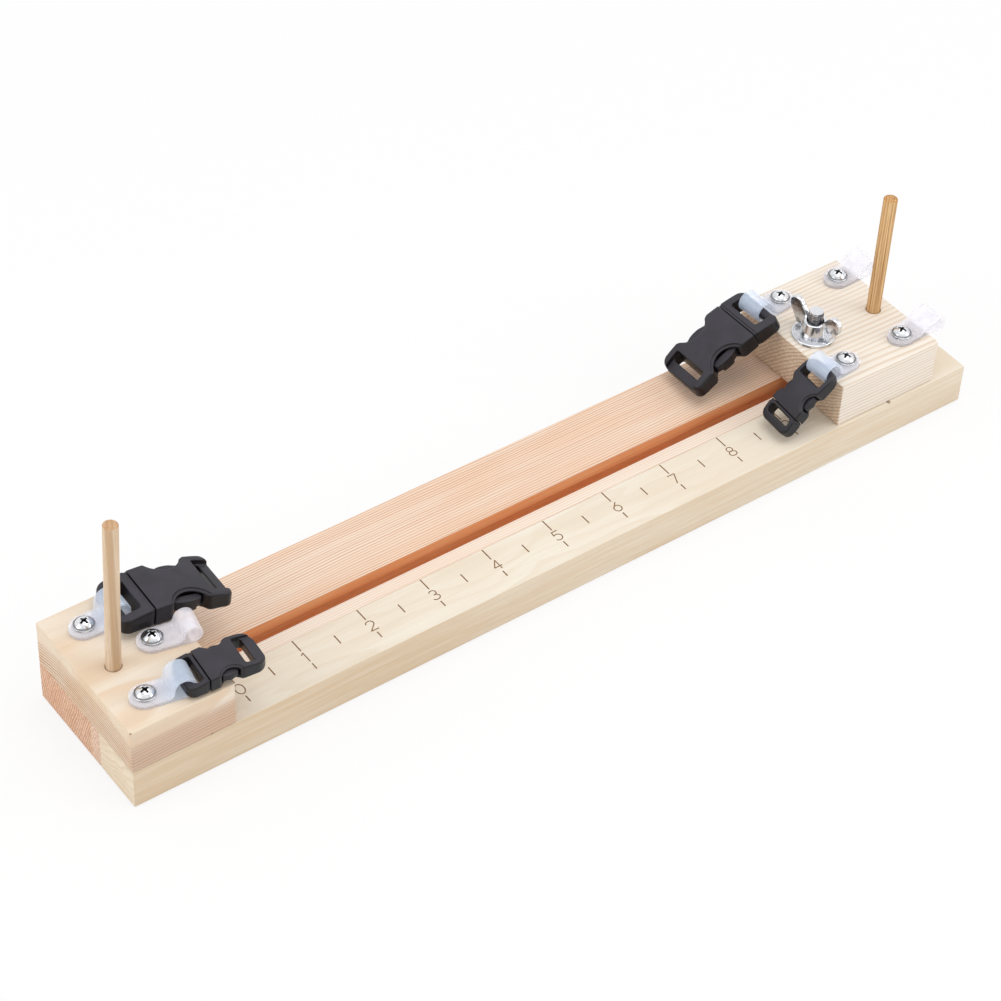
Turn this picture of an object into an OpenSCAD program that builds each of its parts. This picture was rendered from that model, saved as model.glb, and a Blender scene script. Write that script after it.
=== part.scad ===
// Wooden bracelet jig: a slotted base with a fixed block at the left, a sliding block
// clamped by a wing nut at the right, nylon clips that hold side release buckles, and
// two dowel posts. Millimetres. The origin is the centre of the base's underside,
// +X runs along the base to the right, +Y to the rear and +Z up.

/* [Base] */
// Length of the base board
base_l = 350; // [320:1:420]
// Width of the base board and of the fixed block
base_w = 58; // [56:0.5:80]
// Thickness of the base board
base_t = 16; // [14:0.5:24]
// Width of the front plank, up to the glue line
front_plank_w = 20.6; // [18:0.1:22]

/* [Slot] */
// Width of the slot that the clamp bolt runs in
slot_w = 6.7; // [6.4:0.1:8]
// Thickness of the wood left on each side of the slot, which the bolt head pulls against
slot_lip_t = 4.5; // [3:0.1:6]
// Clearance on each side of the bolt head in the channel under the slot
channel_clear = 0.3; // [0.2:0.05:0.6]
// Distance from the fixed block's face to the slot's left end
slot_start_gap = 12.9; // [8:0.1:30]
// Distance from the slot's right end to the end of the base
slot_end_gap = 33; // [25:0.5:40]

/* [Ruler] */
// Distance between two numbered marks, one inch
ruler_pitch = 25.4; // [25.4:0.1:25.4]
// Distance from the fixed block's face to the zero mark
ruler_zero_gap = 8.7; // [6:0.1:12]
// Last numbered mark
ruler_last = 9; // [1:1:9]
// Width of a mark
tick_w = 0.5; // [0.3:0.05:0.8]
// Depth of a mark
tick_depth = 0.25; // [0.1:0.05:0.5]
// Length of the inch marks next to the glue line
inch_tick_l = 5.4; // [4:0.1:6]
// Length of the inch marks in front of the digits
outer_tick_l = 2.8; // [2:0.1:4]
// Length of the half inch marks
half_tick_l = 4.2; // [3:0.1:5]

/* [Blocks] */
// Thickness of both blocks
block_t = 18; // [16:0.5:24]
// Length of the fixed block along the base
fixed_l = 38.1; // [36:0.1:44]
// Length of the sliding block along the base
sliding_l = 44.9; // [42:0.1:52]
// Step from the edge of the base to the edge of the sliding block
sliding_inset = 1; // [0:0.1:2]
// Distance from the sliding block to the right end of the base
sliding_end_gap = 15.2; // [14:0.1:17]
// Diameter of the screws that hold the fixed block from below
block_screw_d = 4; // [3:0.1:5]
// Length of those screws
block_screw_l = 28; // [22:0.5:30]
// Distance of those screws from the base's centre line
block_screw_y = 14; // [12:0.5:15]

/* [Clamp] */
// Thread diameter of the clamp bolt
bolt_d = 6; // [5:0.5:6]
// Length of the clamp bolt under its head
bolt_l = 33.5; // [32:0.5:36]
// Width across flats of the bolt head
bolt_head_af = 10; // [9:0.5:10]
// Height of the bolt head
bolt_head_t = 4; // [3:0.1:4.5]
// Distance from the sliding block's inner face to the bolt
bolt_inset = 10; // [9:0.5:12]
// Diameter of the washer
washer_d = 16; // [14:0.5:18]
// Thickness of the washer
washer_t = 1.2; // [0.8:0.1:2]
// Diameter of the wing nut's collar at its foot
collar_d = 10; // [9:0.1:11]
// Height of the wing nut's collar
collar_h = 5.6; // [5:0.1:7]
// Span over both wings
wing_span = 22.4; // [20:0.1:22.6]
// Height of the wing tips above the washer
wing_h = 11.3; // [10:0.1:13]
// Thickness of a wing
wing_t = 2.2; // [1.6:0.1:2.8]
// Radius of the rounded wing tip
wing_tip_r = 2.6; // [2:0.1:3]
// Turn of the wings from straight across the base
wing_turn = 8; // [0:1:20]

/* [Dowels] */
// Diameter of both dowels
dowel_d = 5.1; // [4.8:0.1:5.4]
// Play between a dowel and its hole, all round
dowel_clear = 0.25; // [0.2:0.05:0.4]
// Depth of the dowel holes
dowel_depth = 14; // [10:0.5:15]
// Height of the left dowel above its block
left_dowel_h = 60; // [40:1:80]
// Height of the right dowel above its block
right_dowel_h = 50; // [40:1:80]
// Distance of the left dowel from the left end
left_dowel_inset = 10.7; // [9:0.1:12]
// Distance of the right dowel from the sliding block's right face
right_dowel_inset = 7.6; // [6.5:0.1:9]
// Distance of both dowels in front of the centre line
dowel_y = 1.2; // [0:0.1:2]
// Lean of the left dowel to the right
left_dowel_lean = 2.2; // [0:0.1:2.4]

/* [Clips] */
// Width of the nylon strip
strip_w = 9.6; // [8.4:0.1:9.8]
// Thickness of the nylon strip
strip_t = 1.1; // [0.8:0.05:1.3]
// Gap between the two layers under the screw
layer_gap = 0.1; // [0.05:0.05:0.2]
// Outer radius of a loop that holds a large buckle
large_loop_r = 4.3; // [4.2:0.05:4.6]
// Outer radius of the loop that holds the left small buckle
small_loop_r = 3.5; // [3.4:0.05:4]
// Radius of the bend where the strip's upper layer rises from the tab
bend_r = 1.5; // [1.2:0.1:2]

/* [Clip screws] */
// Diameter of the flanged head
screw_head_d = 6.9; // [6.4:0.1:7.2]
// Height of the head
screw_head_h = 2.4; // [2:0.1:3]
// Diameter of the shank
screw_d = 3; // [2.5:0.1:3.5]
// Length under the head
screw_l = 12; // [10:0.5:14]

/* [Large buckle] */
// Length over both ends
large_l = 41; // [40.5:0.1:42]
// Width
large_w = 24.8; // [24.6:0.1:26]
// Thickness in the middle
large_t = 8.2; // [8:0.1:9]
// Thickness at both ends
large_end_t = 5.5; // [5.2:0.1:5.8]
// Rise of the curved top
large_arch = 3.5; // [3:0.1:4]

/* [Small buckle] */
// Length over both ends
small_l = 28.6; // [28.3:0.1:29.4]
// Width
small_w = 15.8; // [15.6:0.1:16.8]
// Thickness in the middle
small_t = 6.2; // [6:0.1:6.8]
// Thickness at both ends
small_end_t = 4.4; // [4.2:0.1:4.6]
// Rise of the curved top
small_arch = 2; // [1.7:0.1:2.3]

/* [Hidden] */

$fn = 64;
eps = 0.01;
// Running fit all round a screw's shank or a threaded hole
fit = 0.05;
// Clearance between parts that move past each other
clear = 0.3;

// Places along and above the base
block_z = base_t;
top_z = base_t + block_t;
glue_y = front_plank_w - base_w / 2;
fixed_face_x = fixed_l - base_l / 2;
sliding_x = base_l / 2 - sliding_end_gap - sliding_l;
slot_x0 = fixed_face_x + slot_start_gap;
slot_x1 = base_l / 2 - slot_end_gap;
lip_z = base_t - slot_lip_t;
channel_w = bolt_head_af + 2 * channel_clear;
bolt_x = sliding_x + bolt_inset;
left_dowel_x = left_dowel_inset - base_l / 2;
right_dowel_x = sliding_x + sliding_l - right_dowel_inset;
tab_t = 2 * strip_t + layer_gap;

// Countersunk screws that hold the fixed block, measured from the block's inner face
block_screw_x = fixed_face_x - 10;
block_screw_head_d = 2 * block_screw_d;
block_screw_recess = 0.4;

// A clip: screw place, direction that its loop points, reach from the screw to the
// loop's centre, height of that centre above the block, outer radius of the loop, and
// the length of its lower layer that lies flat.
function clip(screw, yaw, reach, loop_z, loop_r, flat) =
    [screw, yaw, reach, loop_z, loop_r, flat];
function screw_of(c) = c[0];
function yaw_of(c) = c[1];
function reach_of(c) = c[2];
function loop_z_of(c) = c[3];
function loop_r_of(c) = c[4];
function flat_of(c) = c[5];
function left_place(inset, y) = [fixed_face_x - inset, y];
function right_place(inset, y) = [sliding_x + inset, y];

left_rear = clip(left_place(26.9, 17.4), -1.5, 10.3, large_loop_r + 1.15, large_loop_r, 5);
left_middle = clip(left_place(12.1, 0.5), -12, 13.9, 2.6, 2.6, 6);
left_front = clip(left_place(26.5, -18.8), -11, 12.3, small_loop_r, small_loop_r, 6);
right_inner_rear = clip(right_place(11.3, 20.4), 185, 12.75, large_loop_r, large_loop_r, 6);
right_inner_front = clip(right_place(8.8, -18.7), 183, 11.3, large_loop_r - 0.6, large_loop_r, 9.2);
right_outer_rear = clip(right_place(36.9, 18.4), 2, 11.9, 3.5, 3.5, 6);
right_outer_front = clip(right_place(34.8, -18.9), 4, 14.4, 3.3, 3.3, 6);
left_clips = [left_rear, left_middle, left_front];
right_clips = [right_inner_rear, right_inner_front, right_outer_rear, right_outer_front];

function loop_centre(c) = [
    screw_of(c).x + reach_of(c) * cos(yaw_of(c)),
    screw_of(c).y + reach_of(c) * sin(yaw_of(c)),
    top_z + loop_z_of(c)];

// A buckle, in its own frame: u runs from the insert's end along the buckle, v across
// it and w up from the insert's top edge.
LENGTH = 0;
HALF = 1;
THICK = 2;
END_THICK = 3;
ARCH = 4;
SEAM = 5;
SLEEVE_END = 6;
NEAR_SLOT = 7;
FAR_SLOT = 8;
SLOT_HALF = 9;
NEAR_CORNER = 10;
FAR_CORNER = 11;
WAIST_HALF = 12;
SCOOP = 13;
ARM = 14;
BAR_R = 15;
FLARE = 16;
// Slots are [start, end] along u. The scoop is [centre u, centre v, radius]. The arm is
// [hinge u, hinge v, half thickness, tip u, bulge centre u, bulge radius, bulge half width].
// The flare is [start u, corner radius]. These grow with the buckle's length.
function grown(list, k) = [for (x = list) is_list(x) ? grown(x, k) : x * k];
LARGE = concat([large_l, large_w / 2, large_t, large_end_t, large_arch],
    grown([9.5, 17.4, [3.6, 7.8], [32, 36.6], [8, 8.7], 3.8, 4.2, 9, [23.2, 13.4, 7.2],
    [11.4, 8.9, 1.2, 26.8, 20.9, 9.5, 11.5], [2.3, 2.3], [28.6, 3.4]], large_l / 41));
SMALL = concat([small_l, small_w / 2, small_t, small_end_t, small_arch],
    grown([8.2, 12.5, [2.9, 6.4], [20.4, 24], [5.7, 5.6], 2.8, 5, 6.2, [16, 8.3, 4],
    [9.9, 4.8, 0.85, 18.3, 15.3, 5, 7], [1.75, 2.4], [19.2, 2.6]], small_l / 28.6));
wall = 1.6;
seam_gap = 0.3;
arm_press = 8;

// A held buckle: its shape, which end its clip holds (0 insert, 1 housing), the clip,
// how far the strip sits from the middle of the slot, and its roll, pitch and yaw.
function held(b, end, c, shift, turn) = [b, end, c, shift, turn];
left_large = held(LARGE, 0, left_rear, 0.9, [-2.9, 9, -5.6]);
left_small = held(SMALL, 0, left_front, -0.4, [-1.5, 0.5, -5]);
right_large = held(LARGE, 0, right_inner_rear, 2.3, [7, 26.3, 180.8]);
right_small = held(SMALL, 1, right_inner_front, -0.3, [-2.5, -42, -3.6]);

function top_radius(b) = (pow(b[LENGTH] / 2, 2) + pow(b[ARCH], 2)) / (2 * b[ARCH]);
function under_rise(b) = b[END_THICK] + b[ARCH] - b[THICK];
function under_radius(b) =
    (pow(b[LENGTH] / 2, 2) + pow(under_rise(b), 2)) / (2 * under_rise(b));
function top_w(b, u) =
    b[ARCH] - top_radius(b) + sqrt(pow(top_radius(b), 2) - pow(u - b[LENGTH] / 2, 2));
function under_w(b, u) =
    b[ARCH] - b[THICK] - under_radius(b)
    + sqrt(pow(under_radius(b), 2) - pow(u - b[LENGTH] / 2, 2));
function bar_u(b, end) =
    end == 0 ? b[NEAR_SLOT][0] / 2 : (b[FAR_SLOT][1] + b[LENGTH]) / 2;
function bar_w(b, end) =
    (top_w(b, bar_u(b, end)) + under_w(b, bar_u(b, end))) / 2;

module block(x, y, z, l, w, t) {
    translate([x, y, z]) cube([l, w, t]);
}

module ruler_marks() {
    x0 = fixed_face_x + ruler_zero_gap;
    z = base_t - tick_depth;
    inner_y = glue_y - 0.35;
    outer_y = 5.5 - base_w / 2;
    half_y = (inner_y + outer_y) / 2 - 0.2;
    for (i = [0:ruler_last]) {
        x = x0 + i * ruler_pitch - tick_w / 2;
        block(x, inner_y - inch_tick_l, z, tick_w, inch_tick_l, 1);
        block(x, outer_y, z, tick_w, outer_tick_l, 1);
        if (i < ruler_last)
            block(x + ruler_pitch / 2, half_y - half_tick_l / 2, z, tick_w, half_tick_l, 1);
    }
}

module block_screw_places() {
    for (side = [-1, 1])
        translate([block_screw_x, side * block_screw_y, block_screw_recess])
            children();
}

module block_screw_shape(grow, extra) {
    r = block_screw_d / 2 + grow;
    head_h = (block_screw_head_d - block_screw_d) / 2;
    cylinder(r = r, h = block_screw_l + extra);
    translate([0, 0, -grow])
        cylinder(r1 = block_screw_head_d / 2 + grow, r2 = r, h = head_h);
}

module block_screw_holes() {
    block_screw_places() {
        block_screw_shape(fit, 1);
        translate([0, 0, -1 - block_screw_recess])
            cylinder(d = block_screw_head_d + 2 * fit, h = 1 + block_screw_recess - fit + eps);
    }
}

module base_front_plank() {
    color("wheat") difference() {
        block(-base_l / 2, -base_w / 2, 0, base_l, front_plank_w, base_t);
        ruler_marks();
        block_screw_holes();
    }
}

module base_rear_plank() {
    slot_l = slot_x1 - slot_x0;
    color("navajowhite") difference() {
        block(-base_l / 2, glue_y, 0, base_l, base_w - front_plank_w, base_t);
        block(slot_x0, -slot_w / 2, -1, slot_l, slot_w, base_t + 2);
        block(slot_x0, -channel_w / 2, -1, slot_l, channel_w, lip_z + 1);
        block_screw_holes();
    }
}

module dowel_hole(x, lean) {
    translate([x, -dowel_y, top_z]) rotate([0, lean, 0])
        translate([0, 0, -dowel_depth])
            cylinder(r = dowel_d / 2 + dowel_clear, h = dowel_depth + 2);
}

module clip_screw_holes(clips) {
    for (c = clips)
        translate([screw_of(c).x, screw_of(c).y, top_z + tab_t - screw_l - 0.5])
            cylinder(r = screw_d / 2 + fit, h = screw_l + 1);
}

module fixed_block() {
    color("wheat") difference() {
        block(-base_l / 2, -base_w / 2, block_z, fixed_l, base_w, block_t);
        dowel_hole(left_dowel_x, left_dowel_lean);
        clip_screw_holes(left_clips);
        block_screw_holes();
    }
}

module fixed_block_screws() {
    color("silver") block_screw_places() block_screw_shape(0, 0);
}

module sliding_block() {
    w = base_w - 2 * sliding_inset;
    color("wheat") difference() {
        block(sliding_x, -w / 2, block_z, sliding_l, w, block_t);
        dowel_hole(right_dowel_x, 0);
        clip_screw_holes(right_clips);
        translate([bolt_x, 0, block_z - 1])
            cylinder(r = bolt_d / 2 + clear, h = block_t + 2);
    }
}

// Pan head screw with a flange and a cross recess, its seat at z = 0
module clip_screw() {
    flange_h = 0.5;
    dome_r = 0.42 * screw_head_d;
    dome_h = screw_head_h - flange_h;
    ball_r = (pow(dome_r, 2) + pow(dome_h, 2)) / (2 * dome_h);
    cross = [0.55 * screw_head_d, 0.9, 1.3];
    difference() {
        union() {
            translate([0, 0, -screw_l]) cylinder(d = screw_d, h = screw_l + flange_h);
            cylinder(d = screw_head_d, h = flange_h);
            intersection() {
                translate([0, 0, screw_head_h - ball_r]) sphere(r = ball_r);
                cylinder(r = dome_r + 0.3, h = screw_head_h);
            }
        }
        for (turn = [0, 90])
            rotate([0, 0, turn])
                translate([-cross.x / 2, -cross.y / 2, screw_head_h - cross.z])
                    cube(cross);
    }
}

module clip_screws(clips) {
    color("silver") for (c = clips)
        translate([screw_of(c).x, screw_of(c).y, top_z + tab_t])
            rotate([0, 0, yaw_of(c) + 20]) clip_screw();
}

module clamp_bolt() {
    color("silver") translate([bolt_x, 0, lip_z]) {
        translate([0, 0, -bolt_head_t])
            cylinder(d = bolt_head_af / cos(30), h = bolt_head_t, $fn = 6);
        translate([0, 0, -eps]) cylinder(d = bolt_d, h = bolt_l + eps);
    }
}

module clamp_washer() {
    color("silver") translate([bolt_x, 0, top_z]) difference() {
        cylinder(d = washer_d, h = washer_t);
        translate([0, 0, -1]) cylinder(r = bolt_d / 2 + clear, h = washer_t + 2);
    }
}

module wing_outline() {
    tip = [wing_span / 2 - wing_tip_r, wing_h - wing_tip_r];
    root_r = collar_d / 2 - 1.4;
    translate(tip) circle(r = wing_tip_r);
    polygon([
        [root_r, 0.8],
        [collar_d / 2, 0.8],
        [tip.x + 0.95 * wing_tip_r, tip.y - 0.3 * wing_tip_r],
        [tip.x - 0.75 * wing_tip_r, tip.y + 0.66 * wing_tip_r],
        [root_r, collar_h - 0.4]]);
}

module wing_nut() {
    color("silver") translate([bolt_x, 0, top_z + washer_t]) {
        difference() {
            cylinder(d1 = collar_d, d2 = collar_d - 1.6, h = collar_h);
            translate([0, 0, -1]) cylinder(r = bolt_d / 2 + fit, h = collar_h + 2);
        }
        for (side = [90, 270])
            rotate([90, 0, side + wing_turn])
                translate([0, 0, -wing_t / 2]) linear_extrude(wing_t) wing_outline();
    }
}

module dowel(x, lean, h) {
    color("burlywood") translate([x, -dowel_y, top_z]) rotate([0, lean, 0])
        translate([0, 0, -dowel_depth]) cylinder(d = dowel_d, h = dowel_depth + h);
}

function arc(centre, r, from, to) = [for (i = [0:16])
    let (a = from + (to - from) * i / 16) [centre.x + r * cos(a), centre.y + r * sin(a)]];

// One side of the strip, side away from its middle line: along the wood, round the loop
// and back down onto the tab.
function strip_side(c, side) = let (
    r = loop_r_of(c) - strip_t / 2,
    loop = [reach_of(c), loop_z_of(c)],
    low = [flat_of(c), strip_t / 2],
    high_z = 1.5 * strip_t + layer_gap,
    bend = [screw_head_d / 2 + 0.5, high_z + bend_r],
    to_loop = loop - low,
    sag = asin(r / norm(to_loop)) - atan2(to_loop.y, to_loop.x),
    fall = loop - bend,
    slope = atan2(fall.y, fall.x) + asin((r + bend_r) / norm(fall)))
    concat(
        [[-strip_w / 2, low.y - side], [low.x - side * tan(sag / 2), low.y - side]],
        arc(loop, r + side, -90 - sag, 90 + slope),
        arc(bend, bend_r - side, 270 + slope, 270),
        [[-strip_w / 2, high_z + side]]);

module strip_profile(c) {
    outer = strip_side(c, strip_t / 2);
    inner = strip_side(c, -strip_t / 2);
    polygon(concat(outer, [for (i = [len(inner) - 1:-1:0]) inner[i]]));
}

module nylon_clip(c) {
    color("whitesmoke") translate([screw_of(c).x, screw_of(c).y, top_z])
        rotate([0, 0, yaw_of(c)]) difference() {
            intersection() {
                rotate([90, 0, 0]) linear_extrude(strip_w, center = true) strip_profile(c);
                translate([0, 0, -5]) linear_extrude(30) {
                    circle(d = strip_w);
                    translate([0, -strip_w / 2]) square([30, strip_w]);
                }
            }
            translate([0, 0, -1]) cylinder(r = screw_d / 2 + fit, h = tab_t + 2);
        }
}

// The buckle's side view, drawn in from its top and its underside
module side_view(b, inset) {
    difference() {
        intersection() {
            translate([b[LENGTH] / 2, b[ARCH] - top_radius(b)])
                circle(r = top_radius(b) - inset, $fn = 360);
            translate([-1, -b[THICK] - 1]) square([b[LENGTH] + 2, 2 * b[THICK]]);
        }
        translate([b[LENGTH] / 2, b[ARCH] - b[THICK] - under_radius(b)])
            circle(r = under_radius(b) + inset, $fn = 720);
    }
}

// The plan given by the children, given the buckle's curved top and underside
module moulded(b, inset) {
    intersection() {
        rotate([90, 0, 0]) linear_extrude(4 * b[HALF], center = true) side_view(b, inset);
        translate([0, 0, -2 * b[THICK]]) linear_extrude(4 * b[THICK]) children();
    }
}

module centred_box(u0, u1, half) {
    translate([u0, -half]) square([u1 - u0, 2 * half]);
}

// A plan with both corners rounded at its end u1, and by r0 at its start
module rounded_box(u0, u1, half, r0, r1) {
    centred_box(u0 + r0, u1 - r1, half);
    centred_box(u0, u0 + r0 + eps, half - r0);
    centred_box(u1 - r1 - eps, u1, half - r1);
    for (side = [-1, 1]) {
        translate([u0 + r0, side * (half - r0)]) circle(r = r0);
        translate([u1 - r1, side * (half - r1)]) circle(r = r1);
    }
}

// Takes the corners off a bar inside a loop, over the length of the slot beside it
module bar_rounding(b, end) {
    u0 = end == 0 ? -1 : b[FAR_SLOT][1];
    u1 = end == 0 ? b[NEAR_SLOT][0] : b[LENGTH] + 1;
    half = b[SLOT_HALF][end];
    difference() {
        translate([u0, -half, -2 * b[THICK]]) cube([u1 - u0, 2 * half, 4 * b[THICK]]);
        translate([bar_u(b, end), 0, bar_w(b, end)]) rotate([90, 0, 0])
            cylinder(r = b[BAR_R][end], h = 3 * half, center = true);
    }
}

module slot_cut(b, end) {
    slot = end == 0 ? b[NEAR_SLOT] : b[FAR_SLOT];
    translate([0, 0, -2 * b[THICK]]) linear_extrude(4 * b[THICK])
        centred_box(slot[0], slot[1], b[SLOT_HALF][end]);
}

function sleeve_half(b) = b[ARM][1] + b[ARM][2] + clear;

module housing_plan(b) {
    far_half = b[HALF] + (b == SMALL ? 0.4 : 0);
    difference() {
        union() {
            centred_box(b[SEAM] + seam_gap / 2, b[SLEEVE_END], b[HALF]);
            centred_box(b[SLEEVE_END] - eps, b[FLARE][0] + 2 * b[FLARE][1], b[WAIST_HALF]);
            rounded_box(b[FLARE][0], b[LENGTH], far_half, b[FLARE][1], b[FAR_CORNER]);
        }
        scoops(b, 0);
    }
}

// Both thumb scoops, beyond the sleeve
module scoops(b, inset) {
    intersection() {
        for (side = [-1, 1])
            translate([b[SCOOP][0], side * b[SCOOP][1]]) circle(r = b[SCOOP][2] - inset);
        centred_box(b[SLEEVE_END], b[LENGTH], 2 * b[HALF]);
    }
}

module housing(b) {
    color("dimgray") difference() {
        moulded(b, 0) housing_plan(b);
        moulded(b, wall) {
            centred_box(b[SEAM] - 1, b[SLEEVE_END] + eps, sleeve_half(b));
            centred_box(b[SLEEVE_END], b[ARM][3] + 0.6, 2 * b[HALF]);
        }
        slot_cut(b, 1);
        if (b == SMALL) bar_rounding(b, 1);
        lower_bevels(b);
    }
}

// Takes the lower side edges off the sleeve, where the housing leans on the block
module lower_bevels(b) {
    bevel = 1.2;
    u = b[SLEEVE_END];
    for (side = [-1, 1])
        translate([u, side * b[HALF], under_w(b, u)]) rotate([45, 0, 0])
            cube([4 * b[HALF], bevel * sqrt(2), bevel * sqrt(2)], center = true);
}

module insert(b) {
    frame_end = b[SEAM] - seam_gap / 2;
    root_r = b[ARM][2] + 0.1;
    tongue_half = b[HALF] / 6;
    color("dimgray") difference() {
        union() {
            moulded(b, 0) {
                centred_box(b[NEAR_CORNER], frame_end, b[HALF]);
                centred_box(0, b[NEAR_CORNER] + eps, b[HALF] - b[NEAR_CORNER]);
                for (side = [-1, 1])
                    translate([b[NEAR_CORNER], side * (b[HALF] - b[NEAR_CORNER])])
                        circle(r = b[NEAR_CORNER]);
            }
            moulded(b, wall + clear) {
                centred_box(frame_end - eps, b[ARM][0], sleeve_half(b) - clear);
                centred_box(frame_end - eps, b[SCOOP][0], tongue_half);
            }
        }
        slot_cut(b, 0);
        bar_rounding(b, 0);
        for (side = [-1, 1])
            translate([b[ARM][0], side * b[ARM][1], -2 * b[THICK]])
                cylinder(r = root_r + fit, h = 4 * b[THICK]);
    }
}

// The release arm on the side v > 0, a leaf that turns at its root in the insert
module arm(b) {
    hinge = [b[ARM][0], b[ARM][1]];
    leaf = b[ARM][2];
    tip_u = b[ARM][3];
    bulge_r = b[ARM][5];
    color("dimgray") {
        moulded(b, wall + clear) {
            translate(hinge) circle(r = leaf + 0.1);
            translate([hinge.x, hinge.y - leaf]) square([tip_u - hinge.x, 2 * leaf]);
            bulge(b, hinge.y);
        }
        moulded(b, 0.6 * wall) intersection() {
            bulge(b, hinge.y);
            scoops(b, press_travel(b) + clear);
        }
    }
}

// How far the arm moves inward at the middle of the scoop
function press_travel(b) = (b[SCOOP][0] - b[ARM][0]) * sin(arm_press);

module bulge(b, inner_v) {
    start = b[SLEEVE_END] + clear + 0.1;
    intersection() {
        translate([start, inner_v]) square([b[ARM][3] - start, b[HALF]]);
        translate([b[ARM][4], b[ARM][6] - b[ARM][5]]) circle(r = b[ARM][5]);
    }
}

// Puts a buckle, drawn in its own frame, with its bar in its clip's loop
module in_clip(h) {
    b = h[0];
    end = h[1];
    translate(loop_centre(h[2])) rotate(h[4])
        translate([-bar_u(b, end), h[3], -bar_w(b, end)]) children();
}

// The arm on one side of the buckle's own middle line
module placed_arm(h, side) {
    in_clip(h) mirror([0, side < 0 ? 1 : 0, 0]) arm(h[0]);
}

base_front_plank();
base_rear_plank();
fixed_block();
fixed_block_screws();
clip_screws(left_clips);  // fixed_block_clip_screws
sliding_block();
clip_screws(right_clips);  // sliding_block_clip_screws
clamp_bolt();
clamp_washer();
wing_nut();
dowel(left_dowel_x, left_dowel_lean, left_dowel_h);  // left_dowel
dowel(right_dowel_x, 0, right_dowel_h);  // right_dowel
nylon_clip(left_rear);  // left_rear_clip
nylon_clip(left_middle);  // left_middle_clip
nylon_clip(left_front);  // left_front_clip
nylon_clip(right_inner_rear);  // right_inner_rear_clip
nylon_clip(right_inner_front);  // right_inner_front_clip
nylon_clip(right_outer_rear);  // right_outer_rear_clip
nylon_clip(right_outer_front);  // right_outer_front_clip
in_clip(left_large) housing(LARGE);  // left_large_housing
in_clip(left_large) insert(LARGE);  // left_large_insert
placed_arm(left_large, -1);  // left_large_front_arm
placed_arm(left_large, 1);  // left_large_rear_arm
in_clip(left_small) housing(SMALL);  // left_small_housing
in_clip(left_small) insert(SMALL);  // left_small_insert
placed_arm(left_small, -1);  // left_small_front_arm
placed_arm(left_small, 1);  // left_small_rear_arm
in_clip(right_large) housing(LARGE);  // right_large_housing
in_clip(right_large) insert(LARGE);  // right_large_insert
placed_arm(right_large, 1);  // right_large_front_arm
placed_arm(right_large, -1);  // right_large_rear_arm
in_clip(right_small) housing(SMALL);  // right_small_housing
in_clip(right_small) insert(SMALL);  // right_small_insert
placed_arm(right_small, -1);  // right_small_front_arm
placed_arm(right_small, 1);  // right_small_rear_arm
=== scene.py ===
# %% [markdown]
# # A bracelet jig, dressed around its CAD frame
# The real object is a pine board with a slot and a ruler, a fixed block, a sliding block
# held by a wing nut, seven nylon clips, four side release buckles and two dowel posts.
# The CAD frame gives the bodies that move. The pieces made here ride on those bodies, and
# some follow the photograph more closely than the plain CAD. Everything is in metres in
# that same frame, but sizes are written in millimetres and turned at the end.

# %% Load the frame
import math

import bmesh
import bpy
import numpy as np
from mathutils import Euler, Matrix, Vector


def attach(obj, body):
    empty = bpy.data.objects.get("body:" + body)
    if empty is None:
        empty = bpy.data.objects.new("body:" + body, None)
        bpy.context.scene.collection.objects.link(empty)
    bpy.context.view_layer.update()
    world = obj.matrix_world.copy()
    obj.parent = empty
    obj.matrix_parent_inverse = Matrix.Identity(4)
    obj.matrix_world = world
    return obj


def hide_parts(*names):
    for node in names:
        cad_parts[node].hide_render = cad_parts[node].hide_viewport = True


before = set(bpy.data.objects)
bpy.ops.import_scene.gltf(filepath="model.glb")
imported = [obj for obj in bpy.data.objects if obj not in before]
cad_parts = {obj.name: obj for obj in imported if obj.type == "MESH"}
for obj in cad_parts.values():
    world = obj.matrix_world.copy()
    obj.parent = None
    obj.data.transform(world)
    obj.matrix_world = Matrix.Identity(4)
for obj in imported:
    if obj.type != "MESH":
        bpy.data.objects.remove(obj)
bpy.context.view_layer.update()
MM = 0.001

# %% [markdown]
# ## The camera
# The photograph was taken from the front left, well above the base. A camera was fitted
# to the base's corners and the ruler's marks, so its place and its three axes are known.
# Blender wants them as one matrix: right, up and backwards, and then the place.

# %% Make the camera
CAMERA_PLACE = Vector((-472.66, -583.91, 724.57)) * MM
CAMERA_RIGHT = Vector((0.80721, -0.58898, 0.03896))
CAMERA_UP = Vector((0.38145, 0.57088, 0.72705))
SENSOR = 36.0
FOCAL_IN_WIDTHS = 3.0168
NEAREST, FARTHEST = 0.05, 20


def linked(name, data):
    """A new object in the scene for that mesh, camera or lamp."""
    made = bpy.data.objects.new(name, data)
    bpy.context.scene.collection.objects.link(made)
    return made


def make_camera():
    """The camera at its fitted place, turned by its three axes."""
    data = bpy.data.cameras.new("camera")
    data.sensor_width = SENSOR
    data.lens = FOCAL_IN_WIDTHS * SENSOR
    data.clip_start, data.clip_end = NEAREST, FARTHEST
    camera = linked("camera", data)
    right = CAMERA_RIGHT.normalized()
    back = right.cross(CAMERA_UP).normalized()
    up = back.cross(right)
    turn = Matrix((right, up, back)).transposed().to_4x4()
    camera.matrix_world = Matrix.Translation(CAMERA_PLACE) @ turn
    bpy.context.scene.camera = camera
    return camera


camera = make_camera()
print("lens:", round(camera.data.lens, 1), "mm")

# %% [markdown]
# ## Writing node maths as Python
# Materials are built from nodes, and node maths is long to write by hand. A small class
# wraps a socket, so that an expression such as `1 - mask * 0.5` adds its Math nodes.
# One method makes any other node. The same class serves shaders and Geometry Nodes.


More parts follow.
